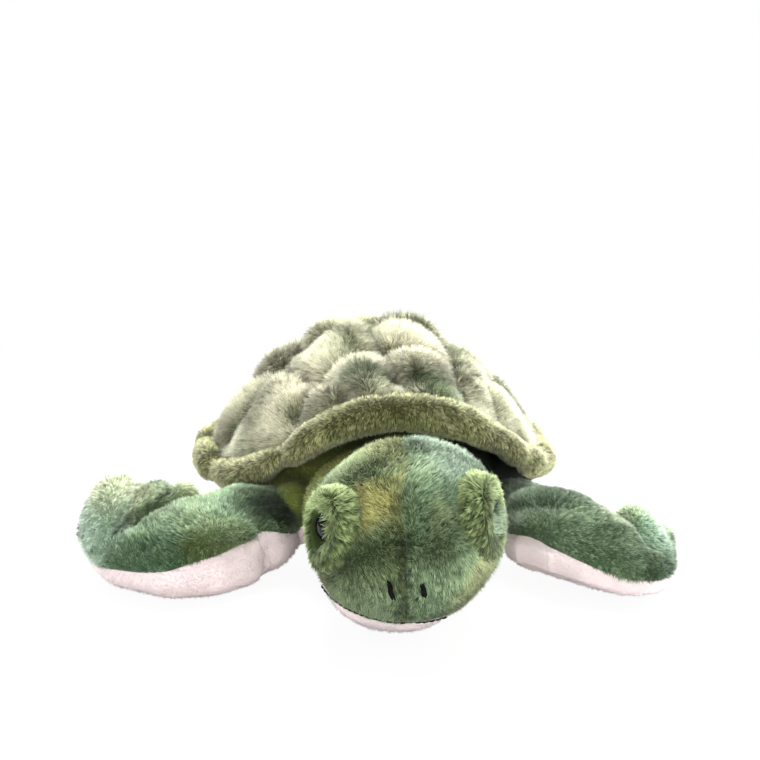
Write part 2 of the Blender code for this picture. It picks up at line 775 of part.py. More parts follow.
def build(root):
    shell_form = make_shell(root)
    shell_cutter = shell_form.cutter("shell_room")
    make_rim(root)

    neck_pivot = add_pivot("neck_pivot", NECK_CENTRE, parent=root)
    head_pivot = add_pivot("head_pivot", HEAD_CENTRE, head_place().to_euler(), neck_pivot)

    head_sizes = (HEAD_HALF_WIDTH, HEAD_HALF_HEIGHT, HEAD_HALF_HEIGHT)
    neck_sizes = (NECK_RADIUS, NECK_RADIUS, NECK_HALF_HEIGHT)
    spin = head_place().to_3x3().to_4x4()
    head_socket = socket("head_socket", HEAD_CENTRE, head_sizes, "X", spin, 24, 10)
    neck_socket = socket("neck_socket", NECK_CENTRE, neck_sizes, "Z", segments=24, rings=10)

    rooms = {side: make_eye(side, head_pivot) for side in EYE_AZIMUTHS}
    head_form = make_head(head_pivot, list(rooms.values()))
    head_cutter = head_form.cutter("head_room")
    for side in EYE_AZIMUTHS:
        make_eye_ring(side, head_pivot, head_cutter, rooms[side])
    make_embroidery(head_pivot)
    make_neck(neck_pivot, [head_socket])

    sockets = [neck_socket]
    for side in ("left", "right"):
        sockets.append(make_flipper("front_flipper", FRONT, side, FRONT_STANCES[side], root))
        sockets.append(make_flipper("rear_flipper", REAR, side, REAR_STANCES[side], root))
    tail_pivot = add_pivot("tail_pivot", TAIL_ROOT, parent=root)
    sockets.append(make_tail(tail_pivot))
    make_body(root, [shell_cutter] + sockets)
    centre_on_floor(root)


ROOT = add_pivot("turtle", (0, 0, 0))
build(ROOT)
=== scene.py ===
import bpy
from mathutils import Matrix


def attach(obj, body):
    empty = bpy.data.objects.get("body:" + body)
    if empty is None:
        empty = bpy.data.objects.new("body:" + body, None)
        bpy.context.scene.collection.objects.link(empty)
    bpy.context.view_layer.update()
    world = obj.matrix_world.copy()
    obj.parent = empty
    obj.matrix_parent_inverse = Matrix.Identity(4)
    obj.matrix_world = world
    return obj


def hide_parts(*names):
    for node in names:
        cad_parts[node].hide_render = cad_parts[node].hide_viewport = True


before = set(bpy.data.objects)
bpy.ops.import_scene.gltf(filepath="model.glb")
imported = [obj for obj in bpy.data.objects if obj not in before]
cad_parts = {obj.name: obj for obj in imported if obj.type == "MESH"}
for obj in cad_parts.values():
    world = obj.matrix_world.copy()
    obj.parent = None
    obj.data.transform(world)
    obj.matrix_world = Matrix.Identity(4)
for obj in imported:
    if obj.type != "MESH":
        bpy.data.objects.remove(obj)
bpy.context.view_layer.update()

import math

import bmesh
import bpy
import numpy as np
from mathutils import Matrix, Vector, noise
from mathutils.bvhtree import BVHTree
from mathutils.kdtree import KDTree

scene = bpy.context.scene
scene.view_settings.view_transform = "Standard"
fullTurn = 2 * math.pi
noise.seed_set(5)        # otherwise noise_vector differs from run to run
toyOrigin = Vector((0.00669, 0.00669, 0))  # the part's own zero, in this frame


# camera, as the photograph was taken
cameraSettings = {
    "lens": 56.84, "sensor": 36, "distance": 0.71, "height": 0.245,
    "bearing": math.radians(-6), "pitch": math.radians(12),
}


def placeCamera(settings):
    bearing, pitch = settings["bearing"], settings["pitch"]
    away = settings["distance"]
    spot = Vector((math.sin(bearing) * away, -math.cos(bearing) * away, settings["height"]))
    bpy.ops.object.camera_add(location=toyOrigin + spot,
                              rotation=(math.pi / 2 - pitch, 0, bearing))
    camera = bpy.context.object
    camera.name = "photoCamera"
    camera.data.lens = settings["lens"]
    camera.data.sensor_width = settings["sensor"]
    camera.data.clip_start = 0.01
    scene.camera = camera


placeCamera(cameraSettings)
print("camera placed")


# shader helpers

def newTree(name):
    material = bpy.data.materials.new(name)
    material.use_nodes = True
    return material, material.node_tree.nodes, material.node_tree.links


def shaderNode(nodes, kind, **values):
    node = nodes.new(kind)
    for key, value in values.items():
        setattr(node, key, value)
    return node


def mixColour(nodes, links, factor, first, second, blend="MIX"):
    node = shaderNode(nodes, "ShaderNodeMix", data_type="RGBA", blend_type=blend)
    for socket, value in ((node.inputs[0], factor), (node.inputs[6], first), (node.inputs[7], second)):
        if isinstance(value, bpy.types.NodeSocket):
            links.new(value, socket)
        elif isinstance(value, tuple):
            socket.default_value = (*value, 1)
        else:
            socket.default_value = value
    return node.outputs[2]


def mathNode(nodes, links, operation, *values, clamp=False):
    node = shaderNode(nodes, "ShaderNodeMath", operation=operation, use_clamp=clamp)
    for socket, value in zip(node.inputs, values):
        if isinstance(value, bpy.types.NodeSocket):
            links.new(value, socket)
        else:
            socket.default_value = value
    return node.outputs[0]


def noiseNode(nodes, links, coords, scale, detail):
    node = nodes.new("ShaderNodeTexNoise")
    node.inputs["Scale"].default_value = scale
    node.inputs["Detail"].default_value = detail
    node.inputs["Roughness"].default_value = 0.55
    node.inputs["Distortion"].default_value = 0
    links.new(coords, node.inputs["Vector"])
    return node


def mapRange(nodes, links, value, low, high, toLow=0, toHigh=1, kind="SMOOTHSTEP"):
    node = shaderNode(nodes, "ShaderNodeMapRange", interpolation_type=kind)
    links.new(value, node.inputs["Value"])
    for key, number in (("From Min", low), ("From Max", high), ("To Min", toLow), ("To Max", toHigh)):
        node.inputs[key].default_value = number
    return node.outputs["Result"]


# studio: white floor and paper-white surroundings, one big soft lamp overhead
studioSettings = {
    "floorSize": 8.0,
    "floorColour": (0.94, 0.94, 0.94),
    "floorLift": (0.94, 1.0), "liftFrom": 0.32, "liftTo": 0.75,
    "worldLight": 0.68,
    "lamps": [
        {"name": "overheadSoftbox", "place": (0.12, 0.48, 1.08), "size": 0.9, "power": 38.0},
        {"name": "backEdge", "place": (0.7, 0.9, 0.55), "size": 0.7, "power": 30.0},
        {"name": "leftEdge", "place": (-0.9, 0.8, 0.5), "size": 0.7, "power": 12.0},
        {"name": "rightEdge", "place": (0.95, -0.05, 0.32), "size": 0.6, "power": 6.5},
        {"name": "frontFill", "place": (-0.3, -1.3, 0.3), "size": 0.6, "power": 4.5},
    ],
}


def makeStudio(settings):
    bpy.ops.mesh.primitive_plane_add(size=settings["floorSize"], location=(0, 0, -0.0004))
    floor = bpy.context.object
    floor.name = "studioFloor"
    material, nodes, links = newTree("studioPaper")
    shader = nodes["Principled BSDF"]
    shader.inputs["Base Color"].default_value = (*settings["floorColour"], 1)
    shader.inputs["Roughness"].default_value = 0.9
    glow = nodes.new("ShaderNodeEmission")
    rays = nodes.new("ShaderNodeLightPath")
    mix = nodes.new("ShaderNodeMixShader")
    coords = nodes.new("ShaderNodeTexCoord").outputs["Object"]
    away = shaderNode(nodes, "ShaderNodeVectorMath", operation="LENGTH")
    links.new(coords, away.inputs[0])
    lift = mapRange(nodes, links, away.outputs["Value"], settings["liftFrom"], settings["liftTo"],
                    *settings["floorLift"])
    seen = mathNode(nodes, links, "MULTIPLY", rays.outputs["Is Camera Ray"], lift)
    links.new(seen, mix.inputs[0])
    links.new(shader.outputs[0], mix.inputs[1])
    links.new(glow.outputs[0], mix.inputs[2])
    links.new(mix.outputs[0], nodes["Material Output"].inputs[0])
    floor.data.materials.append(material)

    world = bpy.data.worlds.new("studioWorld")
    scene.world = world
    world.use_nodes = True
    nodes, links = world.node_tree.nodes, world.node_tree.links
    soft = nodes["Background"]
    soft.inputs["Color"].default_value = (1, 1, 1, 1)
    soft.inputs["Strength"].default_value = settings["worldLight"]
    white = nodes.new("ShaderNodeBackground")
    white.inputs["Color"].default_value = (1, 1, 1, 1)
    rays = nodes.new("ShaderNodeLightPath")
    mix = nodes.new("ShaderNodeMixShader")
    links.new(rays.outputs["Is Camera Ray"], mix.inputs[0])
    links.new(soft.outputs[0], mix.inputs[1])
    links.new(white.outputs[0], mix.inputs[2])
    links.new(mix.outputs[0], nodes["World Output"].inputs[0])

    for lamp in settings["lamps"]:
        bpy.ops.object.light_add(type="AREA", location=lamp["place"])
        light = bpy.context.object
        light.name = lamp["name"]
        light.data.shape = "DISK"
        light.data.size = lamp["size"]
        light.data.energy = lamp["power"]
        aim = Vector((0, 0, 0.05)) - light.location
        light.rotation_euler = aim.to_track_quat("-Z", "Y").to_euler()


makeStudio(studioSettings)
print("studio lit")


# pile cloths: a ground colour of dye clouds and patches, some patches painted shade and painted highlights,
# darker at the roots and frosted at the tips, with less frost and sheen where that colour is dark
plushSettings = {
    "warpScale": 30, "grainScale": 900, "tipStart": 0.1, "patchCore": 0.35,
    "darkColourLevel": 0.14, "darkFrost": 0.08, "darkSheen": 0.15,
    "roughness": 0.82, "specular": 0.18, "bump": 0.0006,
}


def pileMaterial(name, settings):
    material, nodes, links = newTree(name)
    shader = nodes["Principled BSDF"]
    coords = nodes.new("ShaderNodeTexCoord").outputs["Object"]
    bend = noiseNode(nodes, links, coords, plushSettings["warpScale"], 2)
    warp = shaderNode(nodes, "ShaderNodeVectorMath", operation="SCALE")
    links.new(bend.outputs["Color"], warp.inputs[0])
    warp.inputs["Scale"].default_value = settings["warp"]
    warped = shaderNode(nodes, "ShaderNodeVectorMath", operation="ADD")
    links.new(coords, warped.inputs[0])
    links.new(warp.outputs[0], warped.inputs[1])
    place = warped.outputs[0]

    broad = noiseNode(nodes, links, place, settings["cloudScale"], 3)
    ramp = nodes.new("ShaderNodeValToRGB")
    links.new(broad.outputs["Fac"], ramp.inputs[0])
    stops = ramp.color_ramp.elements
    for at, colour in settings["clouds"][2:]:
        stops.new(at).color = (*colour, 1)
    for stop, (at, colour) in zip((stops[0], stops[-1]), settings["clouds"][:2]):
        stop.position = at
        stop.color = (*colour, 1)
    dyeAndPaintedLight = ramp.outputs["Color"]

    half = settings["warp"] / 2
    # patches: dye spots, and in places painted shade and painted highlights
    for centre, radius, colour, strength in settings.get("patches", ()):
        away = shaderNode(nodes, "ShaderNodeVectorMath", operation="DISTANCE")
        links.new(place, away.inputs[0])
        away.inputs[1].default_value = [part + half for part in centre]
        share = mapRange(nodes, links, away.outputs["Value"], radius * plushSettings["patchCore"], radius,
                         strength, 0)
        dyeAndPaintedLight = mixColour(nodes, links, share, dyeAndPaintedLight, colour)

    tip = shaderNode(nodes, "ShaderNodeAttribute", attribute_name="tip").outputs["Fac"]
    shade = shaderNode(nodes, "ShaderNodeAttribute", attribute_name="shade").outputs["Fac"]
    roots = mixColour(nodes, links, 1.0, dyeAndPaintedLight, settings["rootTint"], "MULTIPLY")
    level = nodes.new("ShaderNodeRGBToBW")
    links.new(dyeAndPaintedLight, level.inputs[0])
    frost = mathNode(nodes, links, "MULTIPLY_ADD", shade, settings["frost"], settings["frost"], clamp=True)
    spared = mapRange(nodes, links, level.outputs[0], 0, plushSettings["darkColourLevel"], plushSettings["darkFrost"])
    frost = mathNode(nodes, links, "MULTIPLY", frost, spared)
    tips = mixColour(nodes, links, frost, dyeAndPaintedLight, settings["tipColour"])
    reach = mapRange(nodes, links, tip, plushSettings["tipStart"], 1.0)
    colour = mixColour(nodes, links, reach, roots, tips)
    grain = noiseNode(nodes, links, coords, plushSettings["grainScale"], 2)
    speck = mapRange(nodes, links, grain.outputs["Fac"], 0.25, 0.75,
                     1 - settings["grain"], 1 + settings["grain"], "LINEAR")
    light = mathNode(nodes, links, "MULTIPLY_ADD", shade, settings["shadeSpread"], speck)
    bright = nodes.new("ShaderNodeHueSaturation")
    links.new(colour, bright.inputs["Color"])
    links.new(light, bright.inputs["Value"])
    links.new(bright.outputs[0], shader.inputs["Base Color"])

    shader.inputs["Roughness"].default_value = plushSettings["roughness"]
    shader.inputs["Specular IOR Level"].default_value = plushSettings["specular"]
    sheen = mapRange(nodes, links, level.outputs[0], 0, plushSettings["darkColourLevel"],
                     settings["sheen"] * plushSettings["darkSheen"], settings["sheen"])
    links.new(sheen, shader.inputs["Sheen Weight"])
    shader.inputs["Sheen Roughness"].default_value = 0.5
    bump = nodes.new("ShaderNodeBump")
    bump.inputs["Strength"].default_value = 0.5
    bump.inputs["Distance"].default_value = plushSettings["bump"]
    links.new(grain.outputs["Fac"], bump.inputs["Height"])
    links.new(bump.outputs[0], shader.inputs["Normal"])
    return material


# the dark line down the middle of the face: painted shade in the seam's groove, on both halves of the head
seamShadow = [(place, 0.0034, (0.02, 0.03, 0.015), 0.8) for place in (
    (-0.0027, -0.179, 0.059), (-0.003, -0.181, 0.053), (-0.003, -0.1822, 0.0475),
    (-0.0028, -0.1828, 0.042), (-0.0023, -0.1826, 0.0365), (-0.0012, -0.181, 0.03))]
clothSettings = {
    "shell_fur": {
        "cloudScale": 20, "warp": 0.02,
        "clouds": [(0.3, (0.3, 0.34, 0.19)), (0.72, (0.57, 0.53, 0.39)), (0.5, (0.45, 0.44, 0.3))],
        "patches": [((-0.011, -0.034, 0.105), 0.021, (0.05, 0.09, 0.02), 0.92),
                    ((0.002, -0.04, 0.102), 0.016, (0.05, 0.09, 0.02), 0.9),
                    ((0.03, -0.044, 0.101), 0.016, (0.05, 0.09, 0.02), 0.95),
                    ((0.04, -0.038, 0.098), 0.022, (0.06, 0.11, 0.02), 0.95),
                    ((-0.0441, -0.03, 0.083), 0.014, (0.2, 0.24, 0.1), 0.6),
                    # painted shade: the lower left pillows darker, away from the light
                    ((-0.085, -0.005, 0.066), 0.034, (0.3, 0.32, 0.2), 0.7),
                    ((-0.043, 0.02, 0.096), 0.014, (0.2, 0.22, 0.1), 0.6)],
        "rootTint": (0.34, 0.38, 0.24), "tipColour": (0.74, 0.71, 0.53), "frost": 0.12,
        "grain": 0.12, "shadeSpread": 0.46, "sheen": 0.3,
    },
    "rim_plush": {
        "cloudScale": 30, "warp": 0.02,
        "clouds": [(0.3, (0.27, 0.28, 0.11)), (0.7, (0.4, 0.41, 0.18))],
        "patches": [((-0.0782, -0.028, 0.052), 0.036, (0.5, 0.5, 0.26), 0.85)],
        "rootTint": (0.22, 0.22, 0.15), "tipColour": (0.66, 0.66, 0.38), "frost": 0.16,
        "grain": 0.12, "shadeSpread": 0.62, "sheen": 0.3,
    },
    "head_left": {
        "cloudScale": 34, "warp": 0.03,
        "clouds": [(0.34, (0.12, 0.19, 0.07)), (0.68, (0.36, 0.37, 0.13)), (0.5, (0.21, 0.28, 0.12))],
        "patches": seamShadow + [
            ((-0.03, -0.16, 0.024), 0.026, (0.17, 0.25, 0.11), 0.8),
                    ((-0.038, -0.115, 0.07), 0.026, (0.16, 0.27, 0.15), 0.8),
                    ((-0.008, -0.18, 0.048), 0.02, (0.08, 0.115, 0.04), 0.85),
                    ((-0.0213, -0.13, 0.08), 0.028, (0.22, 0.29, 0.11), 0.85),
                    ((-0.008, -0.128, 0.088), 0.022, (0.27, 0.29, 0.09), 0.85),
                    ((-0.018, -0.166, 0.07), 0.018, (0.5, 0.46, 0.13), 0.85),
                    ((-0.027, -0.17, 0.046), 0.017, (0.08, 0.12, 0.04), 0.85),
                    ((-0.012, -0.181, 0.026), 0.018, (0.16, 0.24, 0.13), 0.8)],
        "rootTint": (0.3, 0.34, 0.26), "tipColour": (0.66, 0.74, 0.46), "frost": 0.1,
        "grain": 0.15, "shadeSpread": 0.8, "sheen": 0.25,
    },
    "head_right": {
        "cloudScale": 34, "warp": 0.03,
        "clouds": [(0.34, (0.11, 0.2, 0.1)), (0.68, (0.28, 0.4, 0.21)), (0.5, (0.2, 0.31, 0.15))],
        "patches": seamShadow + [
            ((0.025, -0.138, 0.089), 0.032, (0.28, 0.39, 0.29), 0.85),
                    ((0.033, -0.16, 0.072), 0.016, (0.15, 0.3, 0.18), 0.7),
                    ((0.012, -0.181, 0.05), 0.02, (0.11, 0.16, 0.07), 0.85),
                    ((0.0153, -0.1768, 0.0666), 0.012, (0.22, 0.28, 0.12), 0.7),
                    ((0.038, -0.166, 0.038), 0.018, (0.52, 0.54, 0.24), 0.85),
                    ((0.031, -0.165, 0.02), 0.018, (0.5, 0.54, 0.26), 0.8),
                    ((0.01, -0.182, 0.028), 0.018, (0.18, 0.28, 0.14), 0.8)],
        "rootTint": (0.3, 0.34, 0.26), "tipColour": (0.66, 0.76, 0.54), "frost": 0.1,
        "grain": 0.15, "shadeSpread": 0.8, "sheen": 0.25,
    },
    "neck": {
        "cloudScale": 26, "warp": 0.03,
        "clouds": [(0.36, (0.11, 0.17, 0.05)), (0.64, (0.52, 0.49, 0.12)), (0.5, (0.27, 0.32, 0.09))],
        "patches": [((-0.043, -0.095, 0.045), 0.016, (0.46, 0.46, 0.14), 0.8),
                    # painted shade: near black under the rim on the right, in the fold beside the right
                    # flipper, and in the crease at the left flipper's root
                    ((0.075, -0.03, 0.042), 0.06, (0.006, 0.02, 0.006), 0.95),
                    ((0.09, 0.0, 0.036), 0.04, (0.003, 0.01, 0.003), 0.97),
                    ((-0.06, -0.056, 0.034), 0.012, (0.01, 0.016, 0.006), 0.9)],
        "rootTint": (0.32, 0.36, 0.28), "tipColour": (0.48, 0.52, 0.24), "frost": 0.04,
        "grain": 0.15, "shadeSpread": 0.5, "sheen": 0.08,
    },
    "left_front": {
        "cloudScale": 20, "warp": 0.03,
        "clouds": [(0.34, (0.12, 0.22, 0.12)), (0.7, (0.34, 0.43, 0.22)), (0.5, (0.2, 0.32, 0.17))],
        # painted highlights: the lit tip and top of the flipper and the tops of its fingers
        "patches": [((-0.16, -0.072, 0.035), 0.032, (0.74, 0.94, 0.8), 0.9),
                    ((-0.148, -0.056, 0.056), 0.032, (0.95, 1.0, 0.72), 0.92),
                    ((-0.125, -0.046, 0.052), 0.018, (0.62, 0.74, 0.52), 0.8),
                    ((-0.108, -0.043, 0.045), 0.016, (0.66, 0.74, 0.44), 0.8),
                    ((-0.115, -0.072, 0.048), 0.02, (0.32, 0.42, 0.27), 0.75),
                    ((-0.125, -0.096, 0.024), 0.024, (0.09, 0.18, 0.09), 0.8),
                    ((-0.098, -0.098, 0.024), 0.018, (0.13, 0.17, 0.04), 0.8),
                    ((-0.078, -0.07, 0.044), 0.02, (0.2, 0.34, 0.2), 0.7),
                    # painted shade at the flipper's root, under the rim
                    ((-0.068, -0.062, 0.04), 0.026, (0.03, 0.07, 0.02), 0.92),
                    ((-0.056, -0.06, 0.036), 0.02, (0.008, 0.016, 0.005), 0.97)],
        "rootTint": (0.36, 0.4, 0.32), "tipColour": (0.62, 0.7, 0.5), "frost": 0.1,
        "grain": 0.15, "shadeSpread": 0.72, "sheen": 0.25,
    },
    "right_front": {
        "cloudScale": 20, "warp": 0.03,
        "clouds": [(0.34, (0.1, 0.18, 0.1)), (0.7, (0.27, 0.38, 0.21)), (0.5, (0.18, 0.27, 0.15))],
        # painted highlights on the lit tip and its lower lobe (this patch and the next)
        "patches": [((0.146, -0.095, 0.04), 0.026, (0.56, 0.73, 0.48), 0.9),
                    ((0.142, -0.113, 0.03), 0.021, (0.56, 0.8, 0.6), 0.85),
                    ((0.11, -0.085, 0.045), 0.022, (0.22, 0.33, 0.2), 0.75),
                    # painted highlight on the lit top of the ridge
                    ((0.124, -0.102, 0.042), 0.015, (0.7, 0.8, 0.56), 0.85),
                    ((0.105, -0.118, 0.025), 0.024, (0.13, 0.22, 0.11), 0.7),
                    # painted shade at the flipper's root, in the head's shadow and under the rim
                    ((0.084, -0.076, 0.042), 0.032, (0.035, 0.07, 0.03), 0.93),
                    ((0.076, -0.05, 0.043), 0.026, (0.01, 0.02, 0.008), 0.95)],
        "rootTint": (0.36, 0.4, 0.32), "tipColour": (0.6, 0.7, 0.52), "frost": 0.1,
        "grain": 0.15, "shadeSpread": 0.72, "sheen": 0.25,
    },
    "rear": {
        "cloudScale": 20, "warp": 0.03,
        "clouds": [(0.34, (0.07, 0.15, 0.09)), (0.7, (0.24, 0.28, 0.1)), (0.5, (0.12, 0.22, 0.14))],
        "rootTint": (0.5, 0.55, 0.46), "tipColour": (0.46, 0.58, 0.42), "frost": 0.3,
        "grain": 0.15, "shadeSpread": 0.18, "sheen": 0.35,
    },
    "eye_ring_plush": {
        "cloudScale": 40, "warp": 0.01,
        "clouds": [(0.3, (0.15, 0.22, 0.06)), (0.7, (0.24, 0.32, 0.11))],
        # painted shade in the left ring's hole round the eye
        "patches": [((-0.036, -0.152, 0.056), 0.0085, (0.01, 0.02, 0.008), 0.9)],
        "rootTint": (0.2, 0.24, 0.14), "tipColour": (0.66, 0.74, 0.44), "frost": 0.13,
        "grain": 0.12, "shadeSpread": 0.8, "sheen": 0.2,
    },
    "pale_plush": {
        "cloudScale": 40, "warp": 0.01,
        "clouds": [(0.3, (0.76, 0.66, 0.66)), (0.7, (0.85, 0.76, 0.76))],
        "rootTint": (0.92, 0.88, 0.88), "tipColour": (0.88, 0.8, 0.8), "frost": 0.4,
        "grain": 0.05, "shadeSpread": 0.04, "sheen": 0.3,
    },
}
cloths = {name: pileMaterial(name, values) for name, values in clothSettings.items()}
print("cloths dyed")


# forms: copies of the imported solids, fused and smoothed, which are then shaped

def clearSelection():
    bpy.ops.object.select_all(action="DESELECT")


def applyModifier(piece, kind, **values):
    clearSelection()
    bpy.context.view_layer.objects.active = piece
    piece.select_set(True)
    modifier = piece.modifiers.new("shaping", kind)
    for key, value in values.items():
        setattr(modifier, key, value)
    bpy.ops.object.modifier_apply(modifier=modifier.name)


def copyNodes(name, nodes):
    clearSelection()
    for node in nodes:
        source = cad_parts[node]
        twin = source.copy()
        twin.data = source.data.copy()
        for key in list(twin.keys()):
            del twin[key]
        twin.parent = None
        twin.matrix_world = Matrix.Identity(4)
        scene.collection.objects.link(twin)
        twin.select_set(True)
        bpy.context.view_layer.objects.active = twin
    if len(nodes) > 1:
        bpy.ops.object.join()
    piece = bpy.context.view_layer.objects.active
    piece.name = name
    piece.data.name = name
    piece.data.materials.clear()
    return piece


def readPoints(piece):
    count = len(piece.data.vertices)
    points = np.empty(count * 3)
    normals = np.empty(count * 3)
    piece.data.vertices.foreach_get("co", points)
    piece.data.vertices.foreach_get("normal", normals)
    return points.reshape(-1, 3), normals.reshape(-1, 3)


def writePoints(piece, points):
    piece.data.vertices.foreach_set("co", np.asarray(points, np.float32).ravel())
    piece.data.update()


def unit(vectors):
    return vectors / np.maximum(np.linalg.norm(vectors, axis=1), 1e-9)[:, None]


def smoothstep(values, low, high):
    share = np.clip((values - low) / (high - low), 0, 1)
    return share * share * (3 - 2 * share)


def keepLargest(piece):
    bm = bmesh.new()
    bm.from_mesh(piece.data)
    left = set(bm.verts)
    islands = []
    while left:
        stack = [left.pop()]
        island = set(stack)
        while stack:
            for edge in stack.pop().link_edges:
                for vert in edge.verts:
                    if vert in left:
                        left.discard(vert)
                        island.add(vert)
                        stack.append(vert)
        islands.append(island)
    islands.sort(key=len)
    for island in islands[:-1]:
        bmesh.ops.delete(bm, geom=list(island), context="VERTS")
    bm.to_mesh(piece.data)
    bm.free()


# a stuffed finger between two places, flattened across its own width
def addFinger(start, end, radius, flat):
    start, end = Vector(start), Vector(end)
    along = end - start
    turn = along.to_track_quat("Z", "Y").to_matrix().to_4x4()
    bpy.ops.mesh.primitive_uv_sphere_add(segments=24, ring_count=14, radius=1)
    finger = bpy.context.object
    stretch = Matrix.Diagonal((radius, radius * flat, along.length / 2 + radius * 0.5, 1))
    finger.data.transform(Matrix.Translation((start + end) / 2) @ turn @ stretch)
    return finger


def stuffedForm(name, nodes, voxel, rounds, fingers=()):
    piece = copyNodes(name, nodes)
    helpers = [addFinger(*finger) for finger in fingers]
    if helpers:
        clearSelection()
        for helper in helpers:
            helper.select_set(True)
        piece.select_set(True)
        bpy.context.view_layer.objects.active = piece
        bpy.ops.object.join()
    applyModifier(piece, "REMESH", mode="VOXEL", voxel_size=voxel)
    keepLargest(piece)
    applyModifier(piece, "SMOOTH", factor=0.5, iterations=rounds)
    piece.data.shade_smooth()
    return piece


creaseSettings = {"step": 0.001, "marked": 0.4, "deep": 0.006, "seamWidth": 0.0028}
folds = {}               # by piece: the places that each crease sinks, and its weight


# a stitched crease: the cloth sinks along a route
def crease(piece, route, width, depth):
    points, normals = readPoints(piece)
    stops = np.array(route, float)
    steps = []
    for first, second in zip(stops[:-1], stops[1:]):
        count = max(2, int(np.linalg.norm(second - first) / creaseSettings["step"]))
        steps.append(first + (second - first) * np.linspace(0, 1, count)[:, None])
    samples = np.concatenate(steps)
    near = np.full(len(points), 1.0)
    for sample in samples:
        near = np.minimum(near, ((points - sample) ** 2).sum(axis=1))
    share = np.exp(-near / width ** 2)
    points = points - normals * (depth * share)[:, None]
    writePoints(piece, points)
    marked = points[share > creaseSettings["marked"]]
    folds.setdefault(piece.name, []).append((marked, min(1, depth / creaseSettings["deep"])))


# how far each place lies in a crease, 0 to 1
def foldShare(piece, places, reach=0.0016):
    share = np.zeros(len(places))
    for spots, weight in folds.get(piece.name, ()):
        tree = KDTree(len(spots))
        for index, spot in enumerate(spots):
            tree.insert(spot, index)
        tree.balance()
        near = np.array([tree.find(place)[2] for place in places])
        share = np.maximum(share, weight * np.exp(-(near / reach) ** 2))
    return share


def swell(piece, centre, radius, height):
    points, normals = readPoints(piece)
    near = ((points - np.array(centre)) ** 2).sum(axis=1)
    writePoints(piece, points + normals * (height * np.exp(-near / radius ** 2))[:, None])


# draws the cloth round a place along with it
def pull(piece, centre, radius, move):
    points, _ = readPoints(piece)
    near = ((points - np.array(centre)) ** 2).sum(axis=1)
    writePoints(piece, points + np.exp(-near / radius ** 2)[:, None] * np.array(move))


def edgeList(piece):
    edges = np.empty(len(piece.data.edges) * 2, np.int32)
    piece.data.edges.foreach_get("vertices", edges)
    return edges.reshape(-1, 2)


def relax(piece, values, rounds):
    edges = edgeList(piece)
    count = np.bincount(edges.ravel(), minlength=len(values))
    for _ in range(rounds):
        total = np.bincount(edges[:, 0], values[edges[:, 1]], len(values))
        total += np.bincount(edges[:, 1], values[edges[:, 0]], len(values))
        values = 0.5 * values + 0.5 * total / np.maximum(count, 1)
    return values


# how much nearer each point is to one node than to the other, in metres
def seamField(piece, firstNodes, secondNodes, rounds=6):
    trees = []
    for nodes in (firstNodes, secondNodes):
        verts, faces = [], []
        for node in nodes:
            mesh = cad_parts[node].data
            base = len(verts)
            verts += [vert.co.copy() for vert in mesh.vertices]
            faces += [[base + corner for corner in face.vertices] for face in mesh.polygons]
        trees.append(BVHTree.FromPolygons(verts, faces))
    points, _ = readPoints(piece)
    gaps = np.array([[tree.find_nearest(point)[3] for tree in trees] for point in points])
    return relax(piece, gaps[:, 1] - gaps[:, 0], rounds)


# cuts the form along the seam; the first piece keeps the side where the field is above zero
def cutAlong(piece, field, secondName, dip=0.0007):
    points, normals = readPoints(piece)
    writePoints(piece, points - normals * (dip * np.exp(-(field / creaseSettings["seamWidth"]) ** 2))[:, None])
    bm = bmesh.new()
    bm.from_mesh(piece.data)
    bm.verts.ensure_lookup_table()
    layer = bm.verts.layers.float.new("seam")
    for vert, value in zip(bm.verts, field):
        vert[layer] = value if abs(value) > 1e-6 else 1e-6
    fresh = []
    for edge in list(bm.edges):
        first, second = edge.verts
        if first[layer] * second[layer] < 0:
            share = first[layer] / (first[layer] - second[layer])
            _, vert = bmesh.utils.edge_split(edge, first, share)
            vert[layer] = 0
            fresh.append(vert)
    bmesh.ops.connect_verts(bm, verts=fresh)
    other = bm.copy()
    for part, keep in ((bm, 1), (other, -1)):
        seam = part.verts.layers.float["seam"]
        wrong = [face for face in part.faces if keep * sum(vert[seam] for vert in face.verts) <= 0]
        bmesh.ops.delete(part, geom=wrong, context="FACES")
        part.verts.layers.float.remove(part.verts.layers.float["seam"])
    second = piece.copy()
    second.data = piece.data.copy()
    second.name = second.data.name = secondName
    scene.collection.objects.link(second)
    bm.to_mesh(piece.data)
    other.to_mesh(second.data)
    bm.free()
    other.free()
    return second


def finishSkin(piece, body, cloth, nodes, thickness=0.0014):
    piece.data.materials.clear()
    piece.data.materials.append(cloths[cloth])
    if thickness:
        applyModifier(piece, "SOLIDIFY", thickness=thickness, offset=-1)
    piece.data.shade_smooth()
    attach(piece, body)
    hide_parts(*nodes)


def treeOf(*pieces):
    verts, faces = [], []
    for piece in pieces:
        base = len(verts)
        verts += [vert.co.copy() for vert in piece.data.vertices]
        faces += [[base + corner for corner in face.vertices] for face in piece.data.polygons]
    return BVHTree.FromPolygons(verts, faces)


# pile: tapered three-sided strands rooted on a skin

def scatter(piece, count, rng):
    mesh = piece.data
    mesh.calc_loop_triangles()
    corners = np.empty(len(mesh.loop_triangles) * 3, np.int32)
    mesh.loop_triangles.foreach_get("vertices", corners)
    corners = corners.reshape(-1, 3)
    points, normals = readPoints(piece)
    a, b, c = (points[corners[:, side]] for side in range(3))
    area = np.linalg.norm(np.cross(b - a, c - a), axis=1)
    chosen = rng.choice(len(corners), count, p=area / area.sum())
    u, v = rng.random(count), rng.random(count)
    flip = u + v > 1
    u[flip], v[flip] = 1 - u[flip], 1 - v[flip]
    weights = np.stack([1 - u - v, u, v], axis=1)[:, :, None]
    places = (points[corners[chosen]] * weights).sum(axis=1)
    facing = (normals[corners[chosen]] * weights).sum(axis=1)
    return places, unit(facing)


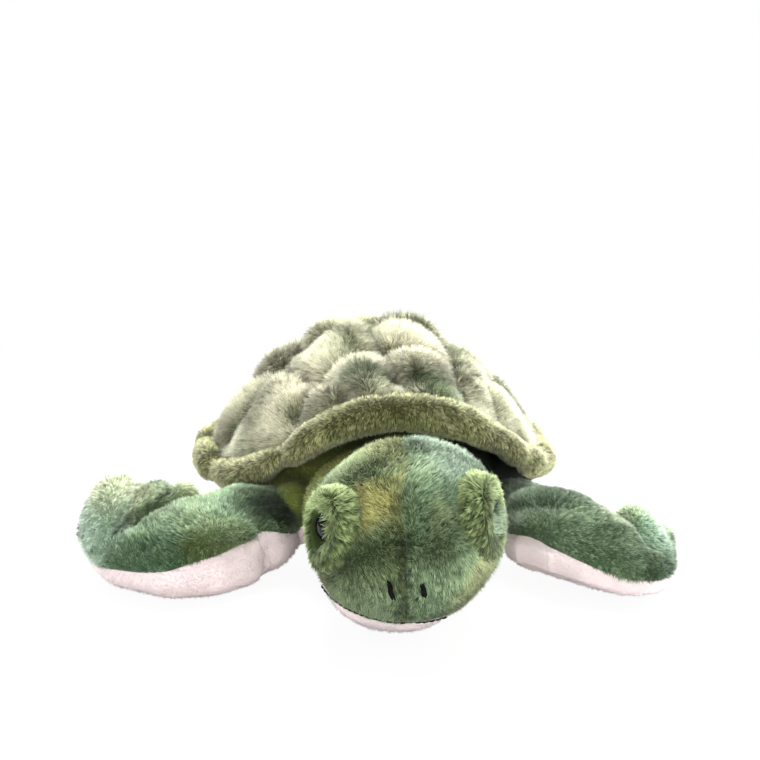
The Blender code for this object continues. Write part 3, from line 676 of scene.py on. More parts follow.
def swirl(points, scale, seed):
    shift = Vector((seed * 1.7, seed * -2.3, seed * 0.9))
    return np.array([noise.noise_vector(Vector(point) * scale + shift) for point in points])


def downhill(points, facing):
    down = np.array((0.0, 0.0, -1.0))
    return down - facing * (facing @ down)[:, None]


def growPile(name, skin, body, cloth, settings, blockers=(), keep=None, lay=None, lengthAt=None,
             paintedShadeAt=None):
    rng = np.random.default_rng(settings["seed"])
    want = settings["count"]
    places, facing = scatter(skin, int(want * settings.get("spare", 1.0)), rng)
    good = np.ones(len(places), bool)
    if keep is not None:
        good &= keep(places, facing)
    for tree in blockers:
        for index in np.nonzero(good)[0]:
            start = Vector(places[index]) + Vector(facing[index]) * 0.0006
            if tree.ray_cast(start, Vector(facing[index]), settings["length"] * 1.2)[0]:
                good[index] = False
    places, facing = places[good][:want], facing[good][:want]
    total = len(places)

    comb = lay(places, facing) if lay else np.zeros((total, 3))
    comb = comb + swirl(places, settings["swirlScale"], settings["seed"]) * settings["swirl"]
    comb = comb + rng.normal(0, settings["stray"], (total, 3))
    comb = comb - facing * (comb * facing).sum(axis=1)[:, None]
    length = settings["length"] * (1 + rng.uniform(-1, 1, total) * settings["lengthSpread"])
    if lengthAt:
        length = length * lengthAt(places, facing)
    way = unit(facing + comb * settings["lean"])
    tips = places + way * length[:, None]

    if settings["clump"]:
        leaders = range(0, total, settings["clumpEvery"])
        tree = KDTree(len(leaders))
        for index in leaders:
            tree.insert(places[index], index)
        tree.balance()
        leader = np.array([tree.find(place)[1] for place in places])
        pull = settings["clump"] * rng.uniform(0.5, 1, total)[:, None]
        tips = tips * (1 - pull) + tips[leader] * pull

    tone = rng.normal(0, 0.5, total)
    if settings["clump"]:
        tone = 0.4 * tone + 0.9 * tone[leader]
    spin = rng.uniform(0, fullTurn, total)
    side = unit(np.cross(facing, rng.normal(0, 1, (total, 3))))
    other = np.cross(facing, side)
    width = settings["width"] * rng.uniform(0.75, 1.25, total)[:, None]
    bulge = settings.get("bulge", 0)
    rings = 2 if bulge else 1
    layers, normals, alongs = [], [], []
    for ring in range(rings):
        share = ring / rings
        middle = places + (tips - places) * share - facing * 0.0005 * (1 - share)
        if ring:
            middle = middle + facing * (length * bulge)[:, None]
        for corner in range(3):
            angle = (spin + corner * fullTurn / 3)[:, None]
            out = np.cos(angle) * side + np.sin(angle) * other
            layers.append(middle + out * width * (1 - 0.4 * share))
            normals.append(unit(facing * settings["softness"] + out * (1 - settings["softness"])))
            alongs.append(np.full(total, share))
    layers.append(tips)
    normals.append(unit(facing + way * 0.3))
    alongs.append(np.ones(total))
    per = len(layers)
    points = np.stack(layers, axis=1).reshape(-1, 3)
    normals = np.stack(normals, axis=1).reshape(-1, 3)
    along = np.stack(alongs, axis=1).ravel()
    # painted shade: the shade function given for a skin darkens strands in its grooves and hollows, and
    # lightens the shell's pillow crowns, on top of their random tone
    if paintedShadeAt:
        tone = tone * 0.85 + paintedShadeAt(places)
    shade = np.repeat(np.clip(tone, -1, 1), per)

    faces = []
    for ring in range(rings - 1):
        for corner in range(3):
            low, high = ring * 3 + corner, ring * 3 + (corner + 1) % 3
            faces += [(low, high, high + 3), (low, high + 3, low + 3)]
    top = (rings - 1) * 3
    faces += [(top + corner, top + (corner + 1) % 3, per - 1) for corner in range(3)]
    corners = (np.arange(total)[:, None, None] * per + np.array(faces)[None]).reshape(-1, 3)

    mesh = bpy.data.meshes.new(name)
    mesh.vertices.add(len(points))
    mesh.vertices.foreach_set("co", points.astype(np.float32).ravel())
    mesh.loops.add(corners.size)
    mesh.loops.foreach_set("vertex_index", corners.astype(np.int32).ravel())
    mesh.polygons.add(len(corners))
    mesh.polygons.foreach_set("loop_start", np.arange(0, corners.size, 3, dtype=np.int32))
    mesh.update(calc_edges=True)
    mesh.attributes.new("tip", "FLOAT", "POINT").data.foreach_set("value", along.astype(np.float32))
    mesh.attributes.new("shade", "FLOAT", "POINT").data.foreach_set("value", shade.astype(np.float32))
    mesh.shade_smooth()
    mesh.normals_split_custom_set_from_vertices(normals.tolist())
    mesh.materials.append(cloths[cloth])
    pile = bpy.data.objects.new(name, mesh)
    scene.collection.objects.link(pile)
    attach(pile, body)
    print(f"{name}: {total} strands, {len(corners)} triangles")
    return pile


# shell: pillows between stitched valleys, pulled deepest at the tufting stitches
shellSettings = {
    "voxel": 0.0021, "rounds": 40, "lift": 0.0014, "depth": 0.011, "pillow": 0.035,
    "unevenScale": 34, "uneven": 0.0022,
    "pillows": [
        ((-0.0073, -0.0279, 0.1064), 1.0), ((-0.0293, -0.0369, 0.0896), 0.72),
        ((0.0301, -0.0212, 0.1066), 1.05), ((0.0549, -0.016, 0.0869), 0.75),
        ((-0.0613, -0.0074, 0.0756), 1.3), ((-0.0821, 0.035, 0.08), 1.05),
        ((-0.0201, 0.012, 0.1121), 1.05), ((-0.0256, 0.0511, 0.1191), 0.9),
        ((0.0273, 0.0156, 0.1179), 0.95), ((0.0665, 0.0328, 0.095), 0.95),
        ((0.0844, 0.0084, 0.0718), 1.1), ((0.0309, 0.06, 0.116), 1.0),
        ((0.0619, 0.08, 0.096), 1.0), ((0.0929, 0.06, 0.07), 1.0),
        ((-0.0541, 0.064, 0.1), 1.0), ((-0.0871, 0.08, 0.068), 1.0),
        ((0.0029, 0.09, 0.11), 1.0), ((0.0329, 0.106, 0.096), 1.0),
        ((-0.0321, 0.108, 0.096), 1.0), ((0.0699, 0.118, 0.068), 1.0),
        ((-0.0581, 0.118, 0.068), 1.0), ((0.0039, 0.134, 0.078), 1.0),
    ],
    "tufts": [((-0.0486, 0.0133, 0.0976), 0.007), ((-0.0397, -0.004, 0.0956), 0.007),
              ((0.0087, -0.0391, 0.1003), 0.008), ((0.0656, 0.0033, 0.091), 0.006),
              ((0.0101, 0.0393, 0.1204), 0.006), ((-0.0196, -0.0228, 0.1038), 0.003)],
}


# 0 in the valleys between pillows, 1 on their crowns
def puffiness(points, settings):
    steps = np.stack([np.linalg.norm(points - np.array(centre), axis=1) / size
                      for centre, size in settings["pillows"]])
    steps.sort(axis=0)
    share = np.clip((steps[1] - steps[0]) / settings["pillow"], 0, 1)
    return np.sqrt(1 - (1 - share) ** 2)


def makeShell(settings):
    form = stuffedForm("carapace_fur_cover", ["carapace_cover", "carapace_lining", "carapace_stuffing"],
                       settings["voxel"], 8)
    field = seamField(form, ["carapace_cover"], ["carapace_lining"])
    applyModifier(form, "SMOOTH", factor=0.5, iterations=settings["rounds"])
    points, normals = readPoints(form)
    swelling = puffiness(points, settings)
    upper = smoothstep(field, 0.0, 0.012)
    wander = swirl(points, settings["unevenScale"], 4)[:, 0] * settings["uneven"]
    move = (settings["lift"] + wander - settings["depth"] * (1 - swelling)) * upper
    writePoints(form, points + normals * move[:, None])
    for centre, depth in settings["tufts"]:
        swell(form, centre, 0.006, -depth)
    applyModifier(form, "SMOOTH", factor=0.4, iterations=3)
    lining = cutAlong(form, field, "carapace_lining_cloth")
    return form, lining


shellCover, shellLining = makeShell(shellSettings)
print("shell shaped")


# rim: a stuffed roll, gathered where its lobes meet
rimSettings = {
    "voxel": 0.0017, "centre": (0.0067, 0.0497), "slim": 0.9,
    "droops": [(60, 20, 0.0054), (-50, 20, 0.0045)],
    "gathers": [(-33, 0.42, 3.0), (-66, 0.45, 4.5), (-93, 0.4, 4.5), (-120, 0.34, 5), (-148, 0.34, 5),
                (180, 0.34, 5), (148, 0.34, 5), (118, 0.34, 5), (88, 0.34, 5), (47, 0.32, 4.5),
                (0, 0.1, 5)],
    "creases": [([(0.0353, -0.0668, 0.0911), (0.0386, -0.0676, 0.0866), (0.0448, -0.0642, 0.08)],
                 0.0026, 0.004),
                ([(-0.056, -0.047, 0.072), (-0.0565, -0.0486, 0.0683), (-0.056, -0.0494, 0.06),
                  (-0.0556, -0.046, 0.053)], 0.0024, 0.005)],
}


def makeRim(settings):
    form = stuffedForm("rim_roll", ["rim_cover", "rim_stuffing"], settings["voxel"], 14)
    points, _ = readPoints(form)
    centre = np.array(settings["centre"])
    flat = points[:, :2] - centre
    bearing = np.degrees(np.arctan2(flat[:, 0], -flat[:, 1]))
    spots = np.linspace(-180, 180, 121)[:-1]
    which = np.round((bearing + 180) / 3).astype(int) % 120
    middles = np.array([points[which == spot].mean(axis=0) for spot in range(120)])
    for _ in range(3):
        middles = (np.roll(middles, 1, 0) + 2 * middles + np.roll(middles, -1, 0)) / 4
    place = (bearing + 180) / 3
    low = np.floor(place).astype(int) % 120
    share = (place - np.floor(place))[:, None]
    middle = middles[low] * (1 - share) + middles[(low + 1) % 120] * share
    size = np.full(len(points), settings["slim"])
    for angle, pinch, width in settings["gathers"]:
        gap = (bearing - angle + 180) % 360 - 180
        size *= 1 - pinch * np.exp(-(gap / width) ** 2) + 0.1 * pinch * np.exp(-(gap / width / 3.2) ** 2)
    moved = middle + (points - middle) * size[:, None]
    for angle, width, drop in settings["droops"]:
        moved[:, 2] -= drop * np.exp(-((bearing - angle) / width) ** 2)
    writePoints(form, moved)
    for route, width, depth in settings["creases"]:
        crease(form, route, width, depth)
    applyModifier(form, "SMOOTH", factor=0.4, iterations=2)
    return form


rimForm = makeRim(rimSettings)
print("rim shaped")


# body and neck
bodySettings = {
    "voxel": 0.0026, "neckVoxel": 0.0018, "tailVoxel": 0.0014,
    "folds": [((-0.046, -0.048, 0.02), (-0.05, -0.05, 0.04), 0.017, 1.0),
              ((0.07, 0.01, 0.035), (0.1, 0.014, 0.037), 0.017, 1.0),
              ((-0.0566, 0.01, 0.035), (-0.0866, 0.014, 0.037), 0.017, 1.0)],
    "creases": [([(-0.056, -0.064, 0.042), (-0.0545, -0.066, 0.028)], 0.0016, 0.0022),
                ([(-0.05, -0.065, 0.043), (-0.049, -0.067, 0.029)], 0.0016, 0.0022),
                ([(-0.044, -0.064, 0.044), (-0.043, -0.066, 0.03)], 0.0016, 0.0022)],
}
bodyForm = stuffedForm("chest_cloth", ["chest_cover", "belly_cover", "body_stuffing"],
                       bodySettings["voxel"], 6, bodySettings["folds"])
for route, width, depth in bodySettings["creases"]:
    crease(bodyForm, route, width, depth)
bellyForm = cutAlong(bodyForm, seamField(bodyForm, ["chest_cover"], ["belly_cover"]), "belly_cloth")
neckForm = stuffedForm("neck_cloth", ["neck_cover", "throat_panel", "neck_stuffing"],
                       bodySettings["neckVoxel"], 6)
throatForm = cutAlong(neckForm, seamField(neckForm, ["neck_cover"], ["throat_panel"]), "throat_cloth")
print("body and neck shaped")


# head: two side panels joined down the middle and a pale chin under the mouth
headSettings = {
    "voxel": 0.0015, "chinHeight": 0.0142, "lipClimb": ((-0.05, -0.13), 0.03, 0.0085),
    "lips": [((-0.033, -0.134, 0.012), 0.017, 0.006), ((-0.02, -0.15, 0.008), 0.017, 0.004),
             ((0.0, -0.16, 0.006), 0.02, 0.0014)],
    "pulls": [((0.05, -0.142, 0.015), 0.032, (-0.0045, 0.0, 0.0))],
    "puckers": {"seam": ((-0.0031, -0.1824, 0.056), (-0.001, -0.182, 0.03)),
                "count": 7, "reach": 0.0065, "width": 0.001, "depth": 0.0007},
    "middle": [((-0.0017, -0.1709, 0.075), (-0.0031, -0.1824, 0.0572), (-0.0025, -0.1853, 0.0437),
                (-0.001, -0.183, 0.03), (-0.0002, -0.1793, 0.0216)), 0.0017, 0.0022],
}


# the height of the mouth seam: it climbs on the left cheek
def lipLevel(points):
    centre, radius, height = headSettings["lipClimb"]
    away = ((points[:, :2] - np.array(centre)) ** 2).sum(axis=1)
    return headSettings["chinHeight"] + height * np.exp(-away / radius ** 2)


# short tucks that the seam's thread pulls in on both sides
def pucker(piece, settings):
    top, bottom = (Vector(end) for end in settings["seam"])
    tree = treeOf(piece)
    for step in range(settings["count"]):
        start = top.lerp(bottom, (step + 0.5) / settings["count"])
        side = 1 if step % 2 else -1
        end = start + Vector((side * settings["reach"], 0, -0.0016))
        route = [tree.find_nearest(start.lerp(end, share))[0] for share in (0, 0.5, 1)]
        crease(piece, route, settings["width"], settings["depth"])


def makeHead(settings):
    nodes = ["head_left_panel", "head_right_panel", "chin_panel", "head_stuffing"]
    form = stuffedForm("head_left_cloth", nodes, settings["voxel"], 8)
    route, width, depth = settings["middle"]
    crease(form, route, width, depth)
    for centre, radius, height in settings["lips"]:
        swell(form, centre, radius, height)
    for centre, radius, move in settings["pulls"]:
        pull(form, centre, radius, move)
    pucker(form, settings["puckers"])
    points, _ = readPoints(form)
    chin = cutAlong(form, points[:, 2] - lipLevel(points), "chin_cloth", 0.0012)
    right = cutAlong(form, seamField(form, ["head_left_panel"], ["head_right_panel"]), "head_right_cloth")
    return form, right, chin


headForm, headRight, chinForm = makeHead(headSettings)
print("head shaped")


# eye rings
ringSettings = {
    "left": {"across": 0.74, "along": 0.92, "taper": 0.34, "open": 1.08, "turn": 12, "tip": 5,
             "shift": (0.001, 0.0, -0.0006), "voxel": 0.001},
    "right": {"across": 1.0, "along": 0.98, "taper": 0.1, "open": 1.12, "turn": -3, "tip": 16,
              "shift": (-0.006, 0.0, -0.0036), "voxel": 0.001},
}


# the ring's own directions: its axis, the way round it that lies level, and up along it
def ringFrame(side, tip=0):
    eye, _ = readPoints(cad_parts[f"{side}_eye"])
    washer, _ = readPoints(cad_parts[f"{side}_eye_washer"])
    centre = eye.mean(axis=0)
    axis = unit((centre - washer.mean(axis=0))[None])[0]
    level = unit(np.cross((0, 0, 1.0), axis)[None])[0]
    high = np.cross(axis, level)
    down = math.radians(tip)
    return (centre, axis * math.cos(down) - high * math.sin(down), level,
            high * math.cos(down) + axis * math.sin(down))


def turnAbout(points, centre, degrees):
    angle = math.radians(degrees)
    turn = np.array([(math.cos(angle), -math.sin(angle), 0), (math.sin(angle), math.cos(angle), 0), (0, 0, 1)])
    return centre + (points - centre) @ turn.T


def makeRing(side, settings):
    form = stuffedForm(f"{side}_eye_ring", [f"{side}_eye_surround"], settings["voxel"], 4)
    points, _ = readPoints(form)
    _, axis, level, high = ringFrame(side)
    middle = points.mean(axis=0)
    out = points - middle
    depth, wide, tall = out @ axis, out @ level, out @ high
    reach = np.hypot(wide, tall)
    roll = 0.5 * (reach.min() + reach.max())
    grow = 1 + (settings["open"] - 1) * np.exp(-((reach - reach.min()) / (roll * 0.35)) ** 2)
    wide = wide * (1 + settings["taper"] * tall / np.abs(tall).max())
    _, axis, level, high = ringFrame(side, settings["tip"])
    out = (np.outer(depth, axis) + np.outer(wide * grow * settings["across"], level)
           + np.outer(tall * grow * settings["along"], high))
    points = turnAbout(middle + out, middle, settings["turn"]) + np.array(settings["shift"])
    writePoints(form, points)
    return form


ringForms = {side: makeRing(side, values) for side, values in ringSettings.items()}


# flippers: a rolled leading edge with stuffed fingers behind it
flipperSettings = {
    "left_front_flipper": {
        "voxel": 0.0015,
        "fingers": [((-0.152, -0.08, 0.025), (-0.145, -0.056, 0.0495), 0.016, 0.85),
                    ((-0.1311, -0.07, 0.03), (-0.1238, -0.048, 0.044), 0.0128, 0.8),
                    ((-0.1165, -0.06, 0.033), (-0.1087, -0.043, 0.0415), 0.0102, 0.85)],
        "swells": [((-0.118, -0.098, 0.008), 0.034, 0.005), ((-0.08, -0.083, 0.01), 0.034, 0.007),
                   ((-0.064, -0.074, 0.012), 0.022, 0.005)],
        "pulls": [((-0.172, -0.07, 0.025), 0.03, (0.003, 0, 0))],
        "seamShift": 0.003,
        "seamBias": [((-0.076, -0.085, 0.02), 0.03, -0.008), ((-0.105, -0.1, 0.016), 0.02, -0.002)],
        "creases": [([(-0.15, -0.085, 0.0275), (-0.1437, -0.085, 0.0347), (-0.1372, -0.0805, 0.0386),
                      (-0.129, -0.072, 0.0405), (-0.1187, -0.0655, 0.0433), (-0.1056, -0.056, 0.0448),
                      (-0.0985, -0.056, 0.046)], 0.003, 0.0085),
                    ([(-0.133, -0.056, 0.052), (-0.1334, -0.0656, 0.0487), (-0.1353, -0.076, 0.0426),
                      (-0.1361, -0.081, 0.037)], 0.0026, 0.0085),
                    ([(-0.1165, -0.052, 0.048), (-0.1182, -0.0616, 0.0458), (-0.1223, -0.0678, 0.0405)],
                     0.0024, 0.0075),
                    ([(-0.1249, -0.0916, 0.0347), (-0.1205, -0.098, 0.0297), (-0.1179, -0.1019, 0.0233)],
                     0.0013, 0.0016),
                    ([(-0.1091, -0.0957, 0.0355), (-0.106, -0.0993, 0.0296), (-0.104, -0.1018, 0.0228)],
                     0.0013, 0.0016)],
    },
    "right_front_flipper": {
        "voxel": 0.0015,
        "fingers": [((0.1434, -0.117, 0.019), (0.1375, -0.092, 0.0345), 0.0165, 0.62),
                    ((0.078, -0.069, 0.035), (0.108, -0.098, 0.0325), 0.015, 0.95)],
        "pulls": [((0.08, -0.11, 0.008), 0.026, (0.0, 0.011, 0.003)),
                  ((0.17, -0.1, 0.02), 0.03, (-0.012, 0.0, 0.0)),
                  ((0.14, -0.13, 0.008), 0.028, (0.0, -0.007, -0.001))],
        "swells": [((0.105, -0.098, 0.042), 0.018, 0.0035), ((0.123, -0.113, 0.036), 0.012, 0.003)],
        "seamBias": [((0.076, -0.1, 0.026), 0.024, -0.007), ((0.13, -0.13, 0.014), 0.026, 0.003)],
        "creases": [([(0.124, -0.089, 0.043), (0.1281, -0.104, 0.0365), (0.13, -0.115, 0.0335),
                      (0.135, -0.122, 0.0285), (0.141, -0.125, 0.0215)], 0.003, 0.0085),
                    ([(0.132, -0.108, 0.036), (0.14, -0.099, 0.0395)], 0.0014, 0.0014),
                    ([(0.1345, -0.114, 0.0325), (0.1449, -0.106, 0.034)], 0.0014, 0.0014),
                    ([(0.138, -0.119, 0.028), (0.15, -0.11, 0.028)], 0.0014, 0.0014),
                    ([(0.141, -0.121, 0.0235), (0.153, -0.113, 0.02)], 0.0014, 0.0014),
                    ([(0.1059, -0.1205, 0.0336), (0.112, -0.1276, 0.0277)], 0.0014, 0.0014)],
    },
    "left_rear_flipper": {"voxel": 0.0017, "fingers": [], "creases": [], "seamShift": 0.0015},
    "right_rear_flipper": {"voxel": 0.0017, "fingers": [], "creases": [], "seamShift": 0.0015},
}


def makeFlipper(stem, settings):
    upper = stuffedForm(f"{stem}_upper_cloth",
                        [f"{stem}_upper_cover", f"{stem}_lower_cover", f"{stem}_stuffing"],
                        settings["voxel"], 5, settings["fingers"])
    field = seamField(upper, [f"{stem}_upper_cover"], [f"{stem}_lower_cover"], 26)
    for centre, radius, height in settings.get("swells", ()):
        swell(upper, centre, radius, height)
    for centre, radius, move in settings.get("pulls", ()):
        pull(upper, centre, radius, move)
    for route, width, depth in settings["creases"]:
        crease(upper, route, width, depth)
    points, _ = readPoints(upper)
    for centre, radius, bias in settings.get("seamBias", ()):
        field += bias * np.exp(-((points - np.array(centre)) ** 2).sum(axis=1) / radius ** 2)
    points[:, 2] = np.maximum(points[:, 2], 0.0008)
    writePoints(upper, points)
    lower = cutAlong(upper, field + settings.get("seamShift", 0), f"{stem}_lower_cloth")
    return upper, lower


limbForms = {stem: makeFlipper(stem, values) for stem, values in flipperSettings.items()}
tailForm = stuffedForm("tail_cloth", ["tail"], bodySettings["tailVoxel"], 6)
print("limbs shaped")


# embroidery
embroiderySettings = {
    "nostrils": {"left": ((-0.0088, -0.1826, 0.0406), (-0.0076, -0.1855, 0.0312)),
                 "right": ((0.0056, -0.1869, 0.0392), (0.0072, -0.1876, 0.0328))},
    "mouthMargin": 0.0004, "nostrilMargin": 0.0023, "seamMargin": 0.0016,
    "threads": 4, "spacing": 0.00048, "nostrilRadius": 0.00044, "nostrilLift": 0.0021,
    "mouthFrom": -84, "mouthTo": 24, "mouthRadius": 0.0005, "mouthStitches": 22,
    "mouthLift": 0.0016, "mouthRise": 0.0021, "mouthBeside": 0.0026,
}


# piles
trees = {
    "shell": treeOf(shellCover, shellLining),
    "rim": treeOf(rimForm),
    "head": treeOf(headForm, headRight, chinForm),
    "rings": treeOf(*ringForms.values()),
    "neck": treeOf(neckForm, throatForm),
    "body": treeOf(bodyForm, bellyForm),
    "limbs": treeOf(*[part for pair in limbForms.values() for part in pair]),
}
pileSettings = {
    "shell": {"count": 52000, "length": 0.0068, "lengthSpread": 0.3, "width": 0.00036,
              "lean": 1.05, "swirl": 1.2, "swirlScale": 40, "stray": 0.18, "clump": 0.3, "clumpEvery": 16,
              "softness": 0.8, "seed": 3},
    "rim": {"count": 49500, "spare": 1.9, "length": 0.0029, "lengthSpread": 0.3, "width": 0.00035,
            "lean": 1.1, "swirl": 0.8, "swirlScale": 90, "stray": 0.25, "clump": 0.4, "clumpEvery": 9,
            "softness": 0.6, "seed": 5},
    "head": {"count": 41000, "length": 0.0038, "lengthSpread": 0.35, "width": 0.00027, "lean": 2.7,
             "swirl": 1.5, "swirlScale": 34, "stray": 0.24, "clump": 0.25, "clumpEvery": 5,
             "softness": 0.5, "seed": 7},
    "ring": {"count": 12000, "length": 0.0044, "lengthSpread": 0.25, "width": 0.0003, "lean": 2.5,
             "swirl": 0.5, "swirlScale": 120, "stray": 0.14, "clump": 0.4, "clumpEvery": 9,
             "softness": 0.5, "seed": 9, "bulge": 0.08},
    "limb": {"count": 40000, "length": 0.0028, "lengthSpread": 0.35, "width": 0.00025, "lean": 2.9,
             "swirl": 1.0, "swirlScale": 30, "stray": 0.14, "clump": 0.3, "clumpEvery": 7,
             "softness": 0.5, "seed": 11},
}


def sector(low, high):
    def keep(points, facing):
        flat = points[:, :2] - np.array(rimSettings["centre"])
        bearing = np.degrees(np.arctan2(flat[:, 0], -flat[:, 1]))
        return (bearing >= low) & (bearing < high)
    return keep


def aroundEye(side):
    values = ringSettings[side]
    centre, axis, _, _ = ringFrame(side, values["tip"])
    middle, _ = readPoints(ringForms[side])
    middle = middle.mean(axis=0)
    axis = turnAbout(axis[None], np.zeros(3), values["turn"])[0]

    def lay(points, facing):
        out = points - middle
        out -= axis * (out @ axis)[:, None]
        return unit(out) * 0.7 - axis * 0.5 + downhill(points, facing) * 0.7

    def keep(points, facing):
        out = points - middle
        out -= axis * (out @ axis)[:, None]
        return (facing * unit(out)).sum(axis=1) > -0.45
    return lay, keep, centre + np.array(values["shift"]), axis


# painted shade: a ring's pile is darker on its lower half and on the side that faces the nose, which face away
# from the light
def ringPaintedShade(side):
    middle = readPoints(ringForms[side])[0].mean(axis=0)
    sign = 1 if side == "left" else -1

    def tone(points):
        out = (points - middle) / 0.012
        return -0.25 + 0.45 * out[:, 2] - 0.45 * sign * out[:, 0]
    return tone


shellParts = {
    "left": (sector(-100, 0), {"spare": 4.2}),
    "right": (sector(0, 100), {"spare": 4.2}),
    "back": (lambda points, facing: ~sector(-100, 100)(points, facing), {"count": 31000, "spare": 2.6}),
}
# the shell's strands get painted shade in the valleys between pillows and painted light on their crowns
for name, (part, own) in shellParts.items():
    growPile(f"carapace_{name}_fur", shellCover, "torso", "shell_fur",
             {**pileSettings["shell"], **own}, [trees["rim"]],
             keep=part, lay=lambda points, facing: downhill(points, facing) * 0.5,
             paintedShadeAt=lambda points: 1.7 * puffiness(points, shellSettings) - 1.15)
growPile("rim_front_pile", rimForm, "torso", "rim_plush", pileSettings["rim"],
         [trees["shell"], trees["body"]], keep=sector(-95, 95), lay=downhill)
growPile("rim_back_pile", rimForm, "torso", "rim_plush",
         {**pileSettings["rim"], "count": 30000}, [trees["shell"], trees["body"]],
         keep=lambda points, facing: ~sector(-95, 95)(points, facing), lay=downhill)


# no strand within a margin of the embroidery
def clearOfThreads(points, facing):
    clear = np.abs(points[:, 2] - lipLevel(points)) > embroiderySettings["mouthMargin"]
    seam = headSettings["middle"][0]
    lines = [(*ends, embroiderySettings["nostrilMargin"]) for ends in embroiderySettings["nostrils"].values()]
    lines += [(*ends, embroiderySettings["seamMargin"]) for ends in zip(seam[1:-1], seam[2:])]
    for start, end, margin in lines:
        for share in np.linspace(0, 1, 15):
            spot = np.array(start) * (1 - share) + np.array(end) * share
            clear &= np.linalg.norm(points - spot, axis=1) > margin
    return clear


# the pile is shorter where the seam pulls it in
def besideSeam(points, facing):
    near = np.full(len(points), 1.0)
    seam = [np.array(place) for place in headSettings["middle"][0]]
    for start, end in zip(seam[1:-1], seam[2:]):
        for share in np.linspace(0, 1, 15):
            near = np.minimum(near, np.linalg.norm(points - start * (1 - share) - end * share, axis=1))
    return 1 - 0.75 * np.exp(-(near / 0.003) ** 2)


# it is shorter beside the mouth too, whose thread it must not hide
def shortNearMouth(points, facing):
    above = (points[:, 2] - lipLevel(points)) / 0.0035
    return besideSeam(points, facing) * (1 - 0.5 * np.exp(-above ** 2))


# painted shade: the head's strands darker beside the middle seam
for half, cloth in (("left", headForm), ("right", headRight)):
    growPile(f"head_{half}_pile", cloth, "head", f"head_{half}", pileSettings["head"],
             [trees["rings"], trees["neck"]], keep=clearOfThreads, lengthAt=shortNearMouth,
             paintedShadeAt=lambda points: 1.6 * (besideSeam(points, None) - 1))
growPile("chin_pile", chinForm, "head", "pale_plush",
         {**pileSettings["head"], "count": 6000, "length": 0.0018}, [trees["neck"]],
         keep=clearOfThreads, lay=downhill)
for side, ring in ringForms.items():
    growPile(f"{side}_eye_ring_pile", ring, "head", "eye_ring_plush",
             pileSettings["ring"], [trees["head"]], lay=aroundEye(side)[0], keep=aroundEye(side)[1],
             paintedShadeAt=ringPaintedShade(side))
growPile("neck_pile", neckForm, "neck", "neck",
         {**pileSettings["limb"], "count": 14000}, [trees["head"], trees["body"]])
growPile("throat_pile", throatForm, "neck", "pale_plush",
         {**pileSettings["limb"], "count": 6000}, [trees["head"], trees["body"]])
growPile("chest_pile", bodyForm, "torso", "neck",
         {**pileSettings["limb"], "count": 10000, "spare": 1.5},
         [trees["shell"], trees["limbs"], trees["neck"]])


def dyeOf(stem):
    return stem.replace("_flipper", "") if "front" in stem else "rear"


for stem, (upper, lower) in limbForms.items():
    cloth = dyeOf(stem)
    # painted shade: strands rooted in the creases are darker
    growPile(f"{stem}_upper_pile", upper, stem, cloth,
             {**pileSettings["limb"], "count": 40000 if "front" in stem else 11000}, [trees["body"]],
             lengthAt=lambda places, facing: 1 - 0.45 * foldShare(upper, places),
             paintedShadeAt=lambda places: -0.75 * foldShare(upper, places))
    growPile(f"{stem}_lower_pile", lower, stem, "pale_plush",
             {**pileSettings["limb"], "count": 10000 if "front" in stem else 2500, "length": 0.0016},
             [trees["body"]])
growPile("tail_pile", tailForm, "tail", "rear",
         {**pileSettings["limb"], "count": 4000}, [trees["body"]])

# skins
finishSkin(shellCover, "torso", "shell_fur", ["carapace_cover", "carapace_stuffing"])
finishSkin(shellLining, "torso", "rim_plush", ["carapace_lining"])
finishSkin(rimForm, "torso", "rim_plush", ["rim_cover", "rim_stuffing"], thickness=0)
finishSkin(bodyForm, "torso", "neck", ["chest_cover", "body_stuffing"])
finishSkin(bellyForm, "torso", "pale_plush", ["belly_cover"])
finishSkin(neckForm, "neck", "neck", ["neck_cover", "neck_stuffing"])
finishSkin(throatForm, "neck", "pale_plush", ["throat_panel"])
finishSkin(headForm, "head", "head_left", ["head_left_panel", "head_stuffing"])
finishSkin(headRight, "head", "head_right", ["head_right_panel"])
finishSkin(chinForm, "head", "pale_plush", ["chin_panel"])
for side, ring in ringForms.items():
    finishSkin(ring, "head", "eye_ring_plush", [f"{side}_eye_surround"], thickness=0)
for stem, (upper, lower) in limbForms.items():
    cloth = dyeOf(stem)
    finishSkin(upper, stem, cloth, [f"{stem}_upper_cover", f"{stem}_stuffing"])
    finishSkin(lower, stem, "pale_plush", [f"{stem}_lower_cover"])
finishSkin(tailForm, "tail", "rear", ["tail"], thickness=0)
print("skins finished")


# eyes, washers and embroidery
def plainMaterial(name, colour, roughness, specular, coat=0.0):
    material, nodes, links = newTree(name)
    shader = nodes["Principled BSDF"]
    coords = nodes.new("ShaderNodeTexCoord").outputs["Object"]
    grain = noiseNode(nodes, links, coords, 700, 3)
    rough = mapRange(nodes, links, grain.outputs["Fac"], 0.3, 0.7, roughness * 0.8, roughness * 1.2, "LINEAR")
    links.new(rough, shader.inputs["Roughness"])
    shader.inputs["Base Color"].default_value = (*colour, 1)
    shader.inputs["Specular IOR Level"].default_value = specular
    shader.inputs["Coat Weight"].default_value = coat
    return material


eyeBlack = plainMaterial("eye_black", (0.001, 0.001, 0.0015), 0.06, 0.16)
washerWhite = plainMaterial("washer_white", (0.72, 0.72, 0.68), 0.45, 0.4)
threadBlack = plainMaterial("thread_black", (0.002, 0.002, 0.002), 0.7, 0.08)
for side in ("left", "right"):
    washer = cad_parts[f"{side}_eye_washer"]
    washer.data.materials.clear()
    washer.data.materials.append(washerWhite)


eyeSettings = {
    "left": {"radius": 0.0081, "lift": -0.0026},
    "right": {"radius": 0.0064, "lift": -0.0084},
}


